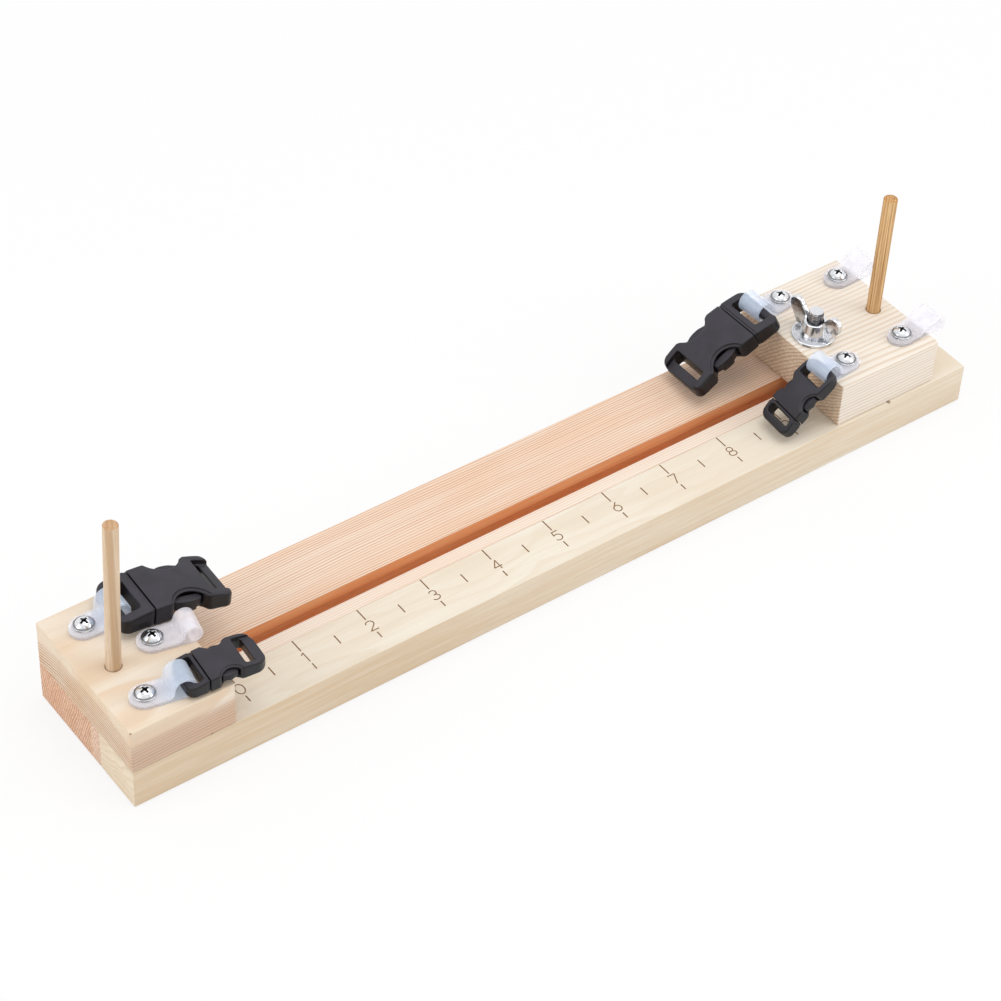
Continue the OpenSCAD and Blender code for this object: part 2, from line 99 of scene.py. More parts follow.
# %% A socket that can be used in sums
class Socket:
    def __init__(self, tree, output):
        self.tree, self.output = tree, output

    def math(self, operation, a, b=0.0):
        return node(self.tree, "ShaderNodeMath", {0: a, 1: b}, operation=operation)

    def __add__(self, other): return self.math("ADD", self, other)
    def __radd__(self, other): return self.math("ADD", other, self)
    def __sub__(self, other): return self.math("SUBTRACT", self, other)
    def __rsub__(self, other): return self.math("SUBTRACT", other, self)
    def __mul__(self, other): return self.math("MULTIPLY", self, other)
    def __rmul__(self, other): return self.math("MULTIPLY", other, self)
    def __truediv__(self, other): return self.math("DIVIDE", self, other)
    def __lt__(self, other): return self.math("LESS_THAN", self, other)
    def __gt__(self, other): return self.math("GREATER_THAN", self, other)
    def __abs__(self): return self.math("ABSOLUTE", self)

    def root(self): return self.math("SQRT", self)
    def fraction(self): return self.math("FRACT", self)
    def floor(self): return self.math("FLOOR", self)
    def larger(self, other): return self.math("MAXIMUM", self, other)

    def between(self, low, high):
        """0 up to low, 1 from high on, and a smooth step between."""
        return node(
            self.tree, "ShaderNodeMapRange",
            {"Value": self, "From Min": low, "From Max": high},
            interpolation_type="SMOOTHSTEP",
        )


def node(tree, kind, values=(), out=0, **settings):
    """Adds a node, sets its settings, then gives its sockets values or links."""
    made = tree.nodes.new(kind)
    for key, value in settings.items():
        setattr(made, key, value)
    for key, value in dict(values).items():
        if isinstance(value, Socket):
            tree.links.new(value.output, made.inputs[key])
        else:
            made.inputs[key].default_value = value
    return Socket(tree, made.outputs[out])


def colour(red, green, blue):
    """A colour as it is seen on a screen, 0 to 255, in Blender's linear values."""
    def linear(value):
        value = value / 255
        return value / 12.92 if value <= 0.04045 else ((value + 0.055) / 1.055) ** 2.4
    return (linear(red), linear(green), linear(blue), 1.0)


def mixed(factor, a, b):
    """Colour a at factor 0 and colour b at 1."""
    tree = factor.tree
    return node(tree, "ShaderNodeMix", {0: factor, 6: a, 7: b}, out=2, data_type="RGBA")


def tinted(base, factor, tint):
    """Multiplies a colour by a tint, as far as factor says."""
    tree = base.tree
    return node(
        tree, "ShaderNodeMix", {0: factor, 6: base, 7: tint},
        out=2, data_type="RGBA", blend_type="MULTIPLY",
    )


def new_material(name):
    """A material with its Principled shader, and the tree to add nodes to."""
    material = bpy.data.materials.new(name)
    material.use_nodes = True
    return material, material.node_tree, material.node_tree.nodes["Principled BSDF"]


def object_mm(tree):
    """Object coordinates in millimetres, as a vector."""
    place = node(tree, "ShaderNodeTexCoord", out=3)
    return node(tree, "ShaderNodeVectorMath", {0: place, "Scale": 1 / MM}, operation="SCALE")


def split(vector):
    """The three parts of a vector."""
    parts = node(vector.tree, "ShaderNodeSeparateXYZ", {0: vector})
    return [Socket(vector.tree, part) for part in parts.output.node.outputs]


def object_normal(tree):
    """The three parts of the direction that the surface faces."""
    return split(node(tree, "ShaderNodeTexCoord", out=1))


def scaled(vector, by):
    """A vector with its parts multiplied by three numbers."""
    return node(vector.tree, "ShaderNodeVectorMath", {0: vector, 1: by}, operation="MULTIPLY")


def noise(vector, scale=1.0, detail=2.0, rough=0.5, seed=0.0):
    """Blender's noise, 0 to 1 with its middle at 0.5. The seed picks another pattern."""
    return node(
        vector.tree, "ShaderNodeTexNoise",
        {"Vector": vector, "W": seed, "Scale": scale, "Detail": detail, "Roughness": rough},
        noise_dimensions="4D",
    )


def bump(height, depth_mm, strength=1.0):
    """A normal from a height of 0 to 1 that stands for a depth in millimetres."""
    return node(
        height.tree, "ShaderNodeBump",
        {"Height": height, "Strength": strength, "Distance": depth_mm * MM},
    )


def use(shader, **inputs):
    """Puts numbers and links on a shader's own sockets, with _ for each space."""
    for key, value in inputs.items():
        socket = shader.inputs[key.replace("_", " ")]
        if isinstance(value, Socket):
            value.tree.links.new(value.output, socket)
        else:
            socket.default_value = value


print("shader helpers are ready")

# %% [markdown]
# ## Wood as a solid
# Sawn wood shows one thing on all its faces: the tree's growth rings, cut by a plane.
# So the pattern is made in space. Each board has a pith, the middle of its tree, that
# lies somewhere beside it, and the distance from that line gives the ring. A face
# along the grain then shows stripes, and the sawn end shows arcs, with no seams.
# Each ring darkens slowly and stops suddenly, and some rings are stronger than others.


# %% Rings, fibres and spots
class Grain:
    """A board's directions: place in mm, and noise that is drawn out along the grain."""

    def __init__(self, tree, along, seed):
        self.place, self.along, self.seed = object_mm(tree), along, seed
        parts = split(self.place)
        self.length = parts[along]
        self.across, self.up = [p for i, p in enumerate(parts) if i != along]
        normal = object_normal(tree)
        self.cut_end = abs(normal[along]).between(0.6, 0.9)
        self.front = abs(normal[1]).between(0.6, 0.9)

    def noise(self, along, across, detail, rough, number):
        """Noise whose scale is one number along the grain and one across it, per mm."""
        scale = [along if i == self.along else across for i in range(3)]
        return noise(scaled(self.place, scale), 1.0, detail, rough, self.seed + number)

    def rings(self, pith, spacing, warp, slant):
        """How dark the ring is at each point, 0 to 1, and the distance from the pith."""
        wave = (self.noise(0.012, 0.05, 2.0, 0.5, 0) - 0.5) * 9.0 * warp
        ripple = (self.noise(0.05, 0.4, 2.0, 0.5, 3) - 0.5) * 0.7 * warp
        side = self.across - pith[0] + self.length * slant + wave
        height = self.up - pith[1] + wave * 0.6
        radius = (side * side + height * height).root()
        count = (radius + ripple) / spacing
        turn, tree = count.fraction(), count.tree
        dark = turn.between(0.35, 0.86) * (1 - turn.between(0.9, 1.0))
        luck = node(tree, "ShaderNodeTexWhiteNoise", {"W": count.floor() + self.seed},
                    noise_dimensions="1D")
        return dark * (0.55 + luck * 0.45), radius


# %% [markdown]
# A board's colours are laid in layers, from the widest to the finest: soft patches, the
# rings, a zone where they are closer or darker, fibres and pores. Where the saw cut
# across the fibres, they drink the light, so the end is a little darker and speckled.
# A board may also have a figure, a streaky front tint with painted shade towards its left
# end, dark specks, and a cut with its own tint.

# %% The wood material
SPECK = (120, 78, 48)


def wood(name, pith, ring, pale, tone, late, dark, contrast=0.5, warp=1.0, slant=0.0,
         fibres=0.1, patches=0.5, zone=None, end_late=(176, 132, 100), end_lines=0.4,
         end_tint=(240, 222, 202), end_spots=0.25, seed=0.0, along=0, specks=(), cut=None,
         front_tone_and_shade=None, figure=None):
    """pith is the (across, up) place of the ring centre and ring the spacing, in mm."""
    material, tree, shader = new_material(name)
    grain = Grain(tree, along, seed)
    lines, radius = grain.rings(pith, ring, warp, slant)
    fibre = grain.noise(0.03, 2.2, 4.0, 0.65, 7)
    fine = grain.noise(0.12, 7.0, 3.0, 0.6, 9)
    patch = grain.noise(0.014, 0.09, 3.0, 0.55, 5).between(0.35, 0.65)
    body = mixed(patch * patches, colour(*pale), colour(*tone))
    if figure:
        swirl = (grain.noise(0.010, 0.024, 2.0, 0.45, 23) * 7).fraction()
        swirl = swirl.between(0.1, 0.8) * (1 - swirl.between(0.85, 1.0))
        body = mixed(swirl * (1 - grain.cut_end) * 0.6, body, colour(*figure))
    if zone:
        starts, full, fades, ends, zone_tone, share, quiet = zone
        inside = radius.between(starts, full) * (1 - radius.between(fades, ends))
        body = mixed(inside * share * (1 - grain.cut_end * 0.7), body, colour(*zone_tone))
        lines = lines * (quiet + inside * (1 - quiet))
    if front_tone_and_shade:
        # Painted shade: faces along the length get a streaky tint that grows stronger towards
        # the left end.
        shade = 1 - grain.length.between(-190, 190)
        streak = grain.noise(0.02, 0.55, 4.0, 0.6, 17).between(0.3, 0.7)
        share = grain.front * (0.1 + shade * 0.45 + streak * 0.6)
        body = tinted(body, share, colour(*front_tone_and_shade))
    body = mixed(lines * contrast, body, colour(*late))
    body = mixed(grain.cut_end * lines * end_lines, body, colour(*end_late))
    body = mixed(fibre.between(0.35, 0.75) * fibres * 2.0, body, colour(*dark))
    body = mixed(fine.between(0.5, 0.8) * fibres, body, colour(*dark))
    if cut:
        body = cut(grain, body)
    speckle = noise(grain.place, 1.5, 4.0, 0.75, seed + 13).between(0.42, 0.62)
    body = tinted(body, grain.cut_end * 0.9, colour(*end_tint))
    body = mixed(grain.cut_end * speckle * end_spots, body, colour(*end_late))
    for spot, size in specks:
        away = node(tree, "ShaderNodeVectorMath", {0: grain.place, 1: spot}, out=1,
                    operation="DISTANCE")
        body = mixed((1 - away.between(size * 0.4, size)) * 0.75, body, colour(*SPECK))
    rough = 0.58 + fibre * 0.12 + grain.cut_end * 0.15
    relief = fibre * 0.5 + fine * 0.3 + lines * 0.3 + grain.cut_end * speckle * 0.6
    use(shader, Base_Color=body, Roughness=rough, Normal=bump(relief, 0.06, 0.7), IOR=1.45,
        Specular_IOR_Level=0.25)
    return material


TOP, LIP_Z = 16.0, 11.5
SLOT_HALF, CHANNEL_HALF = 3.35, 5.3
TINT_MIDDLE, TINT_REACH = 10, 135


def slot_tint(grain, body):
    """The slot's walls and channel get a warm orange brown, and its front strip a little paler.
    """
    aside = abs(grain.across)
    near = 1 - aside.between(CHANNEL_HALF + 0.1, 5.6) * grain.up.between(LIP_Z - 0.5, 11.6)
    inside = near * (1 - aside.between(SLOT_HALF + 0.07, 3.6) * (grain.up > LIP_Z - 0.1))
    inside = inside * (1 - grain.up.between(TOP - 0.4, TOP))
    inside = inside * (abs(grain.length - TINT_MIDDLE) < TINT_REACH)
    streak = grain.noise(0.02, 1.2, 3.0, 0.6, 21).between(0.3, 0.7)
    walls = mixed(streak, colour(255, 200, 146), colour(246, 166, 108))
    body = mixed((1 - grain.across.between(-3.4, -3.0)) * 0.42, body, colour(246, 238, 226))
    return mixed(inside * (1 - aside.between(5.6, 6.0)), body, walls)


front_wood = wood(
    "front_plank_pine", pith=(-60.0, -110.0), ring=2.6, pale=(240, 231, 216),
    tone=(233, 219, 198), late=(218, 198, 168), dark=(206, 184, 154), contrast=0.3,
    warp=2.2, fibres=0.10, patches=0.7, end_tint=(252, 246, 236), end_spots=0.1,
    end_lines=0.1, seed=1.0, front_tone_and_shade=(238, 222, 202),
    specks=[((138.6, -28.2, 16.0), 1.1)],
)
rear_wood = wood(
    "rear_plank_pine", pith=(-420.0, -150.0), ring=0.98, pale=(243, 226, 208),
    tone=(240, 212, 187), late=(202, 136, 98), dark=(214, 166, 130), contrast=0.85,
    warp=0.35, fibres=0.16, patches=0.8, end_tint=(250, 236, 226), end_spots=0.55,
    end_late=(170, 118, 88), end_lines=0.2, seed=2.0, cut=slot_tint,
)
fixed_wood = wood(
    "fixed_block_pine", pith=(-11.0, -108.0), ring=1.25, pale=(240, 229, 213),
    tone=(230, 206, 176), late=(172, 122, 96), dark=(214, 184, 156), contrast=0.55,
    warp=0.7, slant=0.05, fibres=0.12, patches=0.7,
    zone=(-2.0, -1.0, 134.5, 140.0, (208, 176, 152), 0.8, 0.14), end_lines=0.7,
    end_late=(150, 104, 76), end_tint=(255, 250, 242), end_spots=0.1, seed=4.0,
    figure=(228, 200, 168),
    specks=[((-174.6, -28.6, 33.7), 0.5), ((-146.0, -28.9, 16.2), 0.9)],
)
sliding_wood = wood(
    "sliding_block_pine", pith=(-71.0, -59.0), ring=1.3, pale=(243, 235, 224),
    tone=(240, 230, 216), late=(208, 176, 140), dark=(220, 198, 170), contrast=0.58,
    warp=0.35, slant=0.02, fibres=0.1, patches=0.6, end_tint=(255, 238, 220),
    end_spots=0.35, end_late=(140, 98, 72), end_lines=0.3, seed=6.0,
)
left_dowel_wood = wood(
    "left_dowel_wood", pith=(-184.5, 12.2), ring=1.6, pale=(232, 212, 188),
    tone=(226, 202, 172), late=(196, 160, 122), dark=(190, 154, 116), contrast=0.4,
    warp=0.12, fibres=0.3, zone=(24.2, 24.8, 26.4, 26.9, (198, 164, 128), 0.75, 0.6),
    seed=8.0, along=2,
)
right_dowel_wood = wood(
    "right_dowel_wood", pith=(140.0, 10.0), ring=0.9, pale=(242, 206, 156),
    tone=(236, 190, 128), late=(192, 138, 76), dark=(160, 108, 56), contrast=0.7,
    warp=0.5, fibres=0.55, seed=9.0, along=2, end_tint=(250, 240, 225),
)
print("wood materials:", [m.name for m in (front_wood, rear_wood, fixed_wood, sliding_wood)])

# %% [markdown]
# ## Burnt marks, plastic, nylon and metal
# The ruler is burnt in by a laser, so its grooves are brown and matt. The buckles are
# charcoal plastic, with painted light that makes the faces looking up a lighter grey than
# the sides; those faces are also rougher. The nylon strips are milky: each skin hides only
# part of what lies behind it, and they carry a painted glow and a painted blue tint over
# the buckles. The hardware is bright zinc plate, with painted shade in its recesses and
# painted dark reflections on its steep faces.


# %% The other materials
def burnt(name):
    """Scorched wood: two browns in fine spots, and quite matt."""
    material, tree, shader = new_material(name)
    spots = noise(object_mm(tree), 3.0, 3.0, 0.6, 20.0)
    tint = mixed(spots.between(0.3, 0.7), colour(146, 110, 78), colour(180, 146, 110))
    use(shader, Base_Color=tint, Roughness=0.9)
    return material


def plastic(name):
    """Charcoal plastic, painted a lighter grey on the faces that look up, as painted light from
    above, and duller there.
    """
    material, tree, shader = new_material(name)
    place = object_mm(tree)
    grain = noise(place, 9.0, 2.0, 0.6, 30.0)
    cloud = noise(place, 0.15, 2.0, 0.5, 31.0)
    # Painted light: faces that look up are painted lighter than the sides, for light from
    # above; they are also made rougher.
    painted_top_light_and_matt = object_normal(tree)[2].between(0.45, 0.8)
    face = mixed(cloud.between(0.3, 0.7), colour(51, 49, 55), colour(58, 56, 63))
    tint = mixed(painted_top_light_and_matt, colour(27, 25, 28), face)
    use(shader, Base_Color=tint, Roughness=0.28 + painted_top_light_and_matt * 0.26 + grain * 0.06,
        Normal=bump(grain, 0.012, 0.5), Specular_IOR_Level=0.3)
    return material


def nylon(name):
    """Milky nylon, with a painted blue tint where its strip lies over a buckle and a painted
    glow, both set by stored point attributes.
    """
    material, tree, shader = new_material(name)
    over_black = node(tree, "ShaderNodeAttribute", out=2, attribute_name="over_black")
    painted_glow_share = node(tree, "ShaderNodeAttribute", out=2, attribute_name="painted_glow_share")
    place = object_mm(tree)
    cloud = noise(place, 0.35, 3.0, 0.6, 40.0)
    grain = noise(place, 4.0, 2.0, 0.6, 41.0)
    tint = mixed(cloud.between(0.3, 0.7), colour(232, 231, 239), colour(242, 240, 246))
    # Painted light: a bluer base colour where a black buckle lies behind the strip, standing
    # for light through the strip rather than a dye.
    tint = mixed(over_black, tint, colour(218, 228, 246))
    glow = mixed(over_black, colour(232, 228, 236), colour(188, 206, 230))
    use(shader, Base_Color=tint, Roughness=0.28 + grain * 0.1,
        Normal=bump(grain, 0.02, 0.3), Alpha=0.31 + cloud * 0.12)
    use(shader, Subsurface_Weight=1.0, Subsurface_Radius=(1.0, 1.0, 1.0),
        Subsurface_Scale=1.5 * MM)
    # Painted light: an emission glow, bluer over the buckles, that lightens the strip's shaded
    # skins; the strip is no lamp.
    use(shader, Emission_Color=mixed(painted_glow_share, colour(0, 0, 0), glow), Emission_Strength=0.23)
    return material


def zinc(name):
    """Bright plating, with painted shade in its grooves and inner corners from a stored point
    attribute, and painted dark reflections on steep faces.
    """
    material, tree, shader = new_material(name)
    place = object_mm(tree)
    cloud = noise(place, 0.28, 2.0, 0.5, 50.0)
    brush = noise(place, 3.0, 2.0, 0.6, 51.0)
    painted_recess_shade = node(tree, "ShaderNodeAttribute", out=2, attribute_name="painted_recess_shade")
    # Painted reflection: steep faces get dark patches and a slight darkening, for the dark
    # surroundings that they mirror.
    steep = 1 - abs(object_normal(tree)[2]).between(0.35, 0.9)
    tint = mixed(brush.between(0.4, 0.7), colour(236, 237, 240), colour(206, 208, 213))
    patch = cloud.between(0.48, 0.58)
    tint = mixed(steep * (0.1 + patch * 0.6), tint, colour(78, 79, 85))
    # Painted shade in grooves and inner corners, from a stored point attribute.
    tint = mixed(painted_recess_shade, tint, colour(34, 32, 32))
    use(shader, Base_Color=tint, Metallic=1.0, Roughness=0.14 + brush * 0.1 + painted_recess_shade * 0.3,
        Normal=bump(brush, 0.012, 0.4))
    return material


burnt_marks = burnt("burnt_marks")
black_plastic = plastic("black_plastic")
milky_nylon = nylon("milky_nylon")
bright_zinc = zinc("bright_zinc")
print("other materials are ready")

# %% [markdown]
# ## Meshes from numbers
# A finished piece is one plain mesh at the origin. This helper turns points in
# millimetres and faces into such a piece, gives it its material, tells the frame which
# body it rides on and which CAD node it stands for.


# %% Helpers that make and finish a piece
def mesh_object(name, points, faces):
    """A smooth mesh from points in millimetres and the faces between them."""
    mesh = bpy.data.meshes.new(name)
    mesh.from_pydata((np.asarray(points, float) * MM).tolist(), [], faces)
    mesh.validate()
    mesh.shade_smooth()
    return linked(name, mesh)


def baked(obj):
    """Turns an object with modifiers into a plain one with the same name."""
    bpy.context.view_layer.update()
    graph = bpy.context.evaluated_depsgraph_get()
    mesh = bpy.data.meshes.new_from_object(obj.evaluated_get(graph))
    obj.modifiers.clear()
    obj.data = mesh
    return obj


def finish_piece(obj, body, slot_name, material, *nodes):
    """Gives a piece its material and body, and hides the CAD nodes that it replaces. Its slot
    is not used.
    """
    if material is not None:
        obj.data.materials.clear()
        obj.data.materials.append(material)
    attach(obj, body)
    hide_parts(*nodes)


def sharpen(obj, angle=32):
    """Smooth shading, but with edges over that angle kept crisp."""
    obj.data.shade_smooth()
    obj.data.set_sharp_from_angle(angle=math.radians(angle))
    return obj


print("mesh helpers are ready")

# %% [markdown]
# ## Boards with eased edges
# A sawn board is a box whose edges were sanded. Each board starts as a box with a small
# bevel. Slots, holes and marks are then cut out of it with a Boolean, from one mesh
# that holds all the cutters.

# %% Boxes, cylinders and the cut
EASE = 0.45


def box(mesh, low, high):
    """Adds a box between two corners to a bmesh."""
    for v in bmesh.ops.create_cube(mesh, size=1.0)["verts"]:
        v.co = Vector(low[i] + (v.co[i] + 0.5) * (high[i] - low[i]) for i in range(3))


def rod(mesh, start, end, radius, end_radius=None, sides=48):
    """Adds a closed cylinder or cone between two points to a bmesh."""
    start, end = Vector(start), Vector(end)
    axis = end - start
    turn = axis.to_track_quat("Z", "Y").to_matrix().to_4x4()
    place = Matrix.Translation((start + end) / 2) @ turn
    bmesh.ops.create_cone(
        mesh, cap_ends=True, segments=sides, radius1=radius,
        radius2=radius if end_radius is None else end_radius,
        depth=axis.length, matrix=place,
    )


def kept(mesh, name):
    """Turns a bmesh into an object and frees it."""
    data = bpy.data.meshes.new(name)
    mesh.to_mesh(data)
    mesh.free()
    return linked(name, data)


def object_from(mesh, name):
    """Makes an object in metres from a bmesh in millimetres."""
    bmesh.ops.scale(mesh, vec=(MM, MM, MM), verts=mesh.verts)
    return kept(mesh, name)


def eased_board(name, low, high, ease=EASE):
    """A box between two corners with its edges rounded by that much."""
    mesh = bmesh.new()
    box(mesh, low, high)
    bmesh.ops.bevel(
        mesh, geom=list(mesh.edges), offset=ease, segments=3, profile=0.5, affect="EDGES",
    )
    return object_from(mesh, name)


def cut(target, cutter):
    """Takes the cutter out of the target. Cut faces keep the cutter's slot number."""
    modifier = target.modifiers.new("cut", "BOOLEAN")
    modifier.operation, modifier.solver = "DIFFERENCE", "EXACT"
    modifier.use_self = True
    modifier.object = cutter
    baked(target)
    bpy.data.objects.remove(cutter)


# %% [markdown]
# ## The ruler
# The marks repeat every inch, so Geometry Nodes make them: a line of points, a small box
# on each, and the copies made real. The tree has named inputs for the pitch, the count
# and the size of a mark. The result is only used as a cutter for the front plank.


# %% A tree of marks along a line
def new_tree(name, inputs):
    """A Geometry Nodes tree, its inputs as sockets by name, and its output node."""
    tree = bpy.data.node_groups.new(name, "GeometryNodeTree")
    tree.interface.new_socket("Geometry", in_out="OUTPUT", socket_type="NodeSocketGeometry")
    for label, kind in inputs.items():
        tree.interface.new_socket(label, in_out="INPUT", socket_type="NodeSocket" + kind)
    entry = tree.nodes.new("NodeGroupInput")
    leave = tree.nodes.new("NodeGroupOutput")
    gives = {s.name: Socket(tree, s) for s in entry.outputs if s.name}
    return tree, gives, leave


def close_tree(geometry, material, leave):
    """Ends a tree: copies are made real, get their material and go out."""
    real = node(geometry.tree, "GeometryNodeRealizeInstances", {0: geometry})
    done = node(geometry.tree, "GeometryNodeSetMaterial", {0: real, "Material": material})
    geometry.tree.links.new(done.output, leave.inputs[0])
    return geometry.tree


def run_tree(name, tree, values, base=None):
    """Puts the tree on an object, sets its inputs by identifier, and bakes the result."""
    made = base or linked(name, bpy.data.meshes.new(name))
    modifier = made.modifiers.new("nodes", "NODES")
    modifier.node_group = tree
    for item in tree.interface.items_tree:
        if item.in_out == "INPUT" and item.name in values:
            modifier[item.identifier] = values[item.name]
    made.update_tag()
    return baked(made)


def marks_tree():
    """A row of boxes, one at each pitch from the start."""
    tree, given, leave = new_tree("marks_along_a_line", {
        "Start": "Vector", "Pitch": "Float", "Count": "Int", "Size": "Vector",
        "Material": "Material"})
    step = node(tree, "ShaderNodeCombineXYZ", {"X": given["Pitch"]})
    line = node(tree, "GeometryNodeMeshLine", {
        "Count": given["Count"], "Start Location": given["Start"], "Offset": step})
    mark = node(tree, "GeometryNodeMeshCube", {"Size": given["Size"]})
    placed = node(tree, "GeometryNodeInstanceOnPoints", {"Points": line, "Instance": mark})
    return close_tree(placed, given["Material"], leave)


INCH = 25.4
RULER_ZERO = -128.2
GLUE_LINE = -8.4
MARK_DEPTH = 0.25
MARK_WIDTH = 0.5
INNER_MARK, OUTER_MARK, HALF_MARK = 5.4, 2.8, 4.2
# For each row: where it starts, how many marks, their middle across the base, their length
MARKS = {
    "inner": (RULER_ZERO, 10, GLUE_LINE - 0.35 - INNER_MARK / 2, INNER_MARK),
    "outer": (RULER_ZERO, 10, -23.5 + OUTER_MARK / 2, OUTER_MARK),
    "half": (RULER_ZERO + INCH / 2, 9, -16.32, HALF_MARK),
}

mark_tree = marks_tree()
cutters = []
for label, (first, count, middle, length) in MARKS.items():
    cutters.append(run_tree("marks_" + label, mark_tree, {
        "Start": Vector((first, middle, TOP)) * MM, "Pitch": INCH * MM, "Count": count,
        "Size": Vector((MARK_WIDTH, length, 2 * MARK_DEPTH)) * MM,
        "Material": burnt_marks}))
print("ruler marks:", sum(len(c.data.polygons) // 6 for c in cutters))

# %% [markdown]
# ## The digits
# The numbers are drawn with a single line, as a laser draws them. Each digit is a list
# of strokes in a box one wide and one high. A stroke becomes a chain of short boxes with
# round joints, thin enough to read as one line, and is cut as the marks are.


# %% Digits from strokes
def bow(centre, radii, start, end, steps=14):
    """Points on an ellipse between two angles in degrees."""
    angles = [math.radians(start + (end - start) * i / steps) for i in range(steps + 1)]
    return [(centre[0] + radii[0] * math.cos(a), centre[1] + radii[1] * math.sin(a))
            for a in angles]


DIGITS = {
    0: [bow((0.5, 0.5), (0.5, 0.5), 0, 360, 24)],
    1: [[(0.18, 0.8), (0.5, 1.0), (0.5, 0.0)]],
    2: [bow((0.5, 0.7), (0.45, 0.3), 165, -35) + [(0.05, 0.0), (0.98, 0.0)]],
    3: [bow((0.45, 0.75), (0.4, 0.25), 150, -90) + bow((0.45, 0.26), (0.48, 0.26), 90, -150)],
    4: [[(0.72, 0.0), (0.72, 1.0), (0.02, 0.3), (1.0, 0.3)]],
    5: [[(0.88, 1.0), (0.2, 1.0), (0.12, 0.58)] + bow((0.45, 0.33), (0.48, 0.33), 130, -145)],
    6: [[(0.78, 0.98)] + bow((0.5, 0.33), (0.45, 0.33), 155, 515, 24)],
    7: [[(0.02, 1.0), (0.95, 1.0), (0.35, 0.0)]],
    8: [bow((0.5, 0.75), (0.36, 0.25), 0, 360, 20), bow((0.5, 0.26), (0.46, 0.26), 0, 360, 24)],
    9: [bow((0.5, 0.67), (0.45, 0.33), -25, 335, 24) + [(0.22, 0.02)]],
}
DIGIT_SIZE = (3.1, 4.4)
DIGIT_MIDDLE = -17.3
STROKE = 0.42
OVERLAP = 0.2


def stroke_cutter(points, width, depth):
    """A closed groove cutter along a line of points on the plank's top."""
    mesh = bmesh.new()
    for a, b in zip(points, points[1:]):
        a, b = Vector((*a, 0)), Vector((*b, 0))
        along = (b - a).normalized()
        side = Vector((-along.y, along.x, 0)) * width / 2
        reach = along * width * OVERLAP
        ring = [a - reach - side, b + reach - side, b + reach + side, a - reach + side]
        low = [mesh.verts.new((p.x, p.y, TOP - depth)) for p in ring]
        high = [mesh.verts.new((p.x, p.y, TOP + depth)) for p in ring]
        mesh.faces.new(low[::-1])
        mesh.faces.new(high)
        for i in range(4):
            j = (i + 1) % 4
            mesh.faces.new((low[i], low[j], high[j], high[i]))
    return object_from(mesh, "digit_stroke")


for digit, strokes in DIGITS.items():
    left = RULER_ZERO + digit * INCH - DIGIT_SIZE[0] / 2
    for stroke in strokes:
        points = [(left + x * DIGIT_SIZE[0], DIGIT_MIDDLE + (y - 0.5) * DIGIT_SIZE[1])
                  for x, y in stroke]
        cutters.append(stroke_cutter(points, STROKE, MARK_DEPTH))
print("digit strokes:", sum(len(s) for s in DIGITS.values()))


# %% [markdown]
# ## The planks and the blocks
# The base is two planks glued edge to edge. The rear one holds the T slot. The fixed
# block sits on the left end and the sliding block runs along the slot.

# %% Build the planks
def joined(parts, name, slot_index):
    """One mesh from several, with every face on that slot."""
    mesh = bmesh.new()
    for part in parts:
        mesh.from_mesh(part.data)
        bpy.data.objects.remove(part)
    for face in mesh.faces:
        face.material_index = slot_index
    return kept(mesh, name)


def holes(name, add):
    """One cutter with all that a function adds to it."""
    mesh = bmesh.new()
    add(mesh)
    return object_from(mesh, name)


BURNT_SLOT = 1
HALF_LENGTH, HALF_WIDTH = 175, 29
SLOT = (-124.0, 142.0)
BLOCK_SCREWS = [(-146.9, -14.0), (-146.9, 14.0)]
SCREW_HOLE, SCREW_HEAD_HOLE = 2.05, 4.05
SUNK = 0.4
BEYOND = 1


def wood_screw_holes(mesh, top=TOP + BEYOND):
    """The countersunk holes for the fixed block's two screws, up to that height."""
    for x, y in BLOCK_SCREWS:
        rod(mesh, (x, y, -BEYOND), (x, y, top), SCREW_HOLE)
        rod(mesh, (x, y, -BEYOND), (x, y, SUNK), SCREW_HEAD_HOLE)
        rod(mesh, (x, y, SUNK - 0.05), (x, y, SUNK + 2), SCREW_HEAD_HOLE, SCREW_HOLE)


front = eased_board("front_plank", (-HALF_LENGTH, -HALF_WIDTH, 0),
                    (HALF_LENGTH, GLUE_LINE, TOP))
front.data.materials.append(front_wood)
front.data.materials.append(burnt_marks)
cut(front, joined(cutters, "ruler_cutters", BURNT_SLOT))
cut(front, holes("front_holes", wood_screw_holes))
sharpen(front)
finish_piece(front, "base", "front_plank", None, "base_front_plank")

rear = eased_board("rear_plank", (-HALF_LENGTH, GLUE_LINE, 0), (HALF_LENGTH, HALF_WIDTH, TOP))


def rear_cuts(mesh):
    """The slot, right through, and the screw holes."""
    box(mesh, (SLOT[0], -SLOT_HALF, -BEYOND), (SLOT[1], SLOT_HALF, TOP + BEYOND))
    wood_screw_holes(mesh)


def channel_cut(mesh):
    """The wider channel under the slot, in which the bolt's head runs."""
    box(mesh, (SLOT[0], -CHANNEL_HALF, -BEYOND), (SLOT[1], CHANNEL_HALF, LIP_Z))


cut(rear, holes("rear_holes", rear_cuts))
cut(rear, holes("channel", channel_cut))
sharpen(rear)
finish_piece(rear, "base", "rear_plank", rear_wood, "base_rear_plank")
print("front plank faces:", len(front.data.polygons), "rear:", len(rear.data.polygons))

# %% [markdown]
# The blocks get eased edges too, and holes for their dowels, screws and bolt. The left
# dowel leans, so its hole leans with it. A thin slit keeps each block's underside out of
# the plane of the base's top.

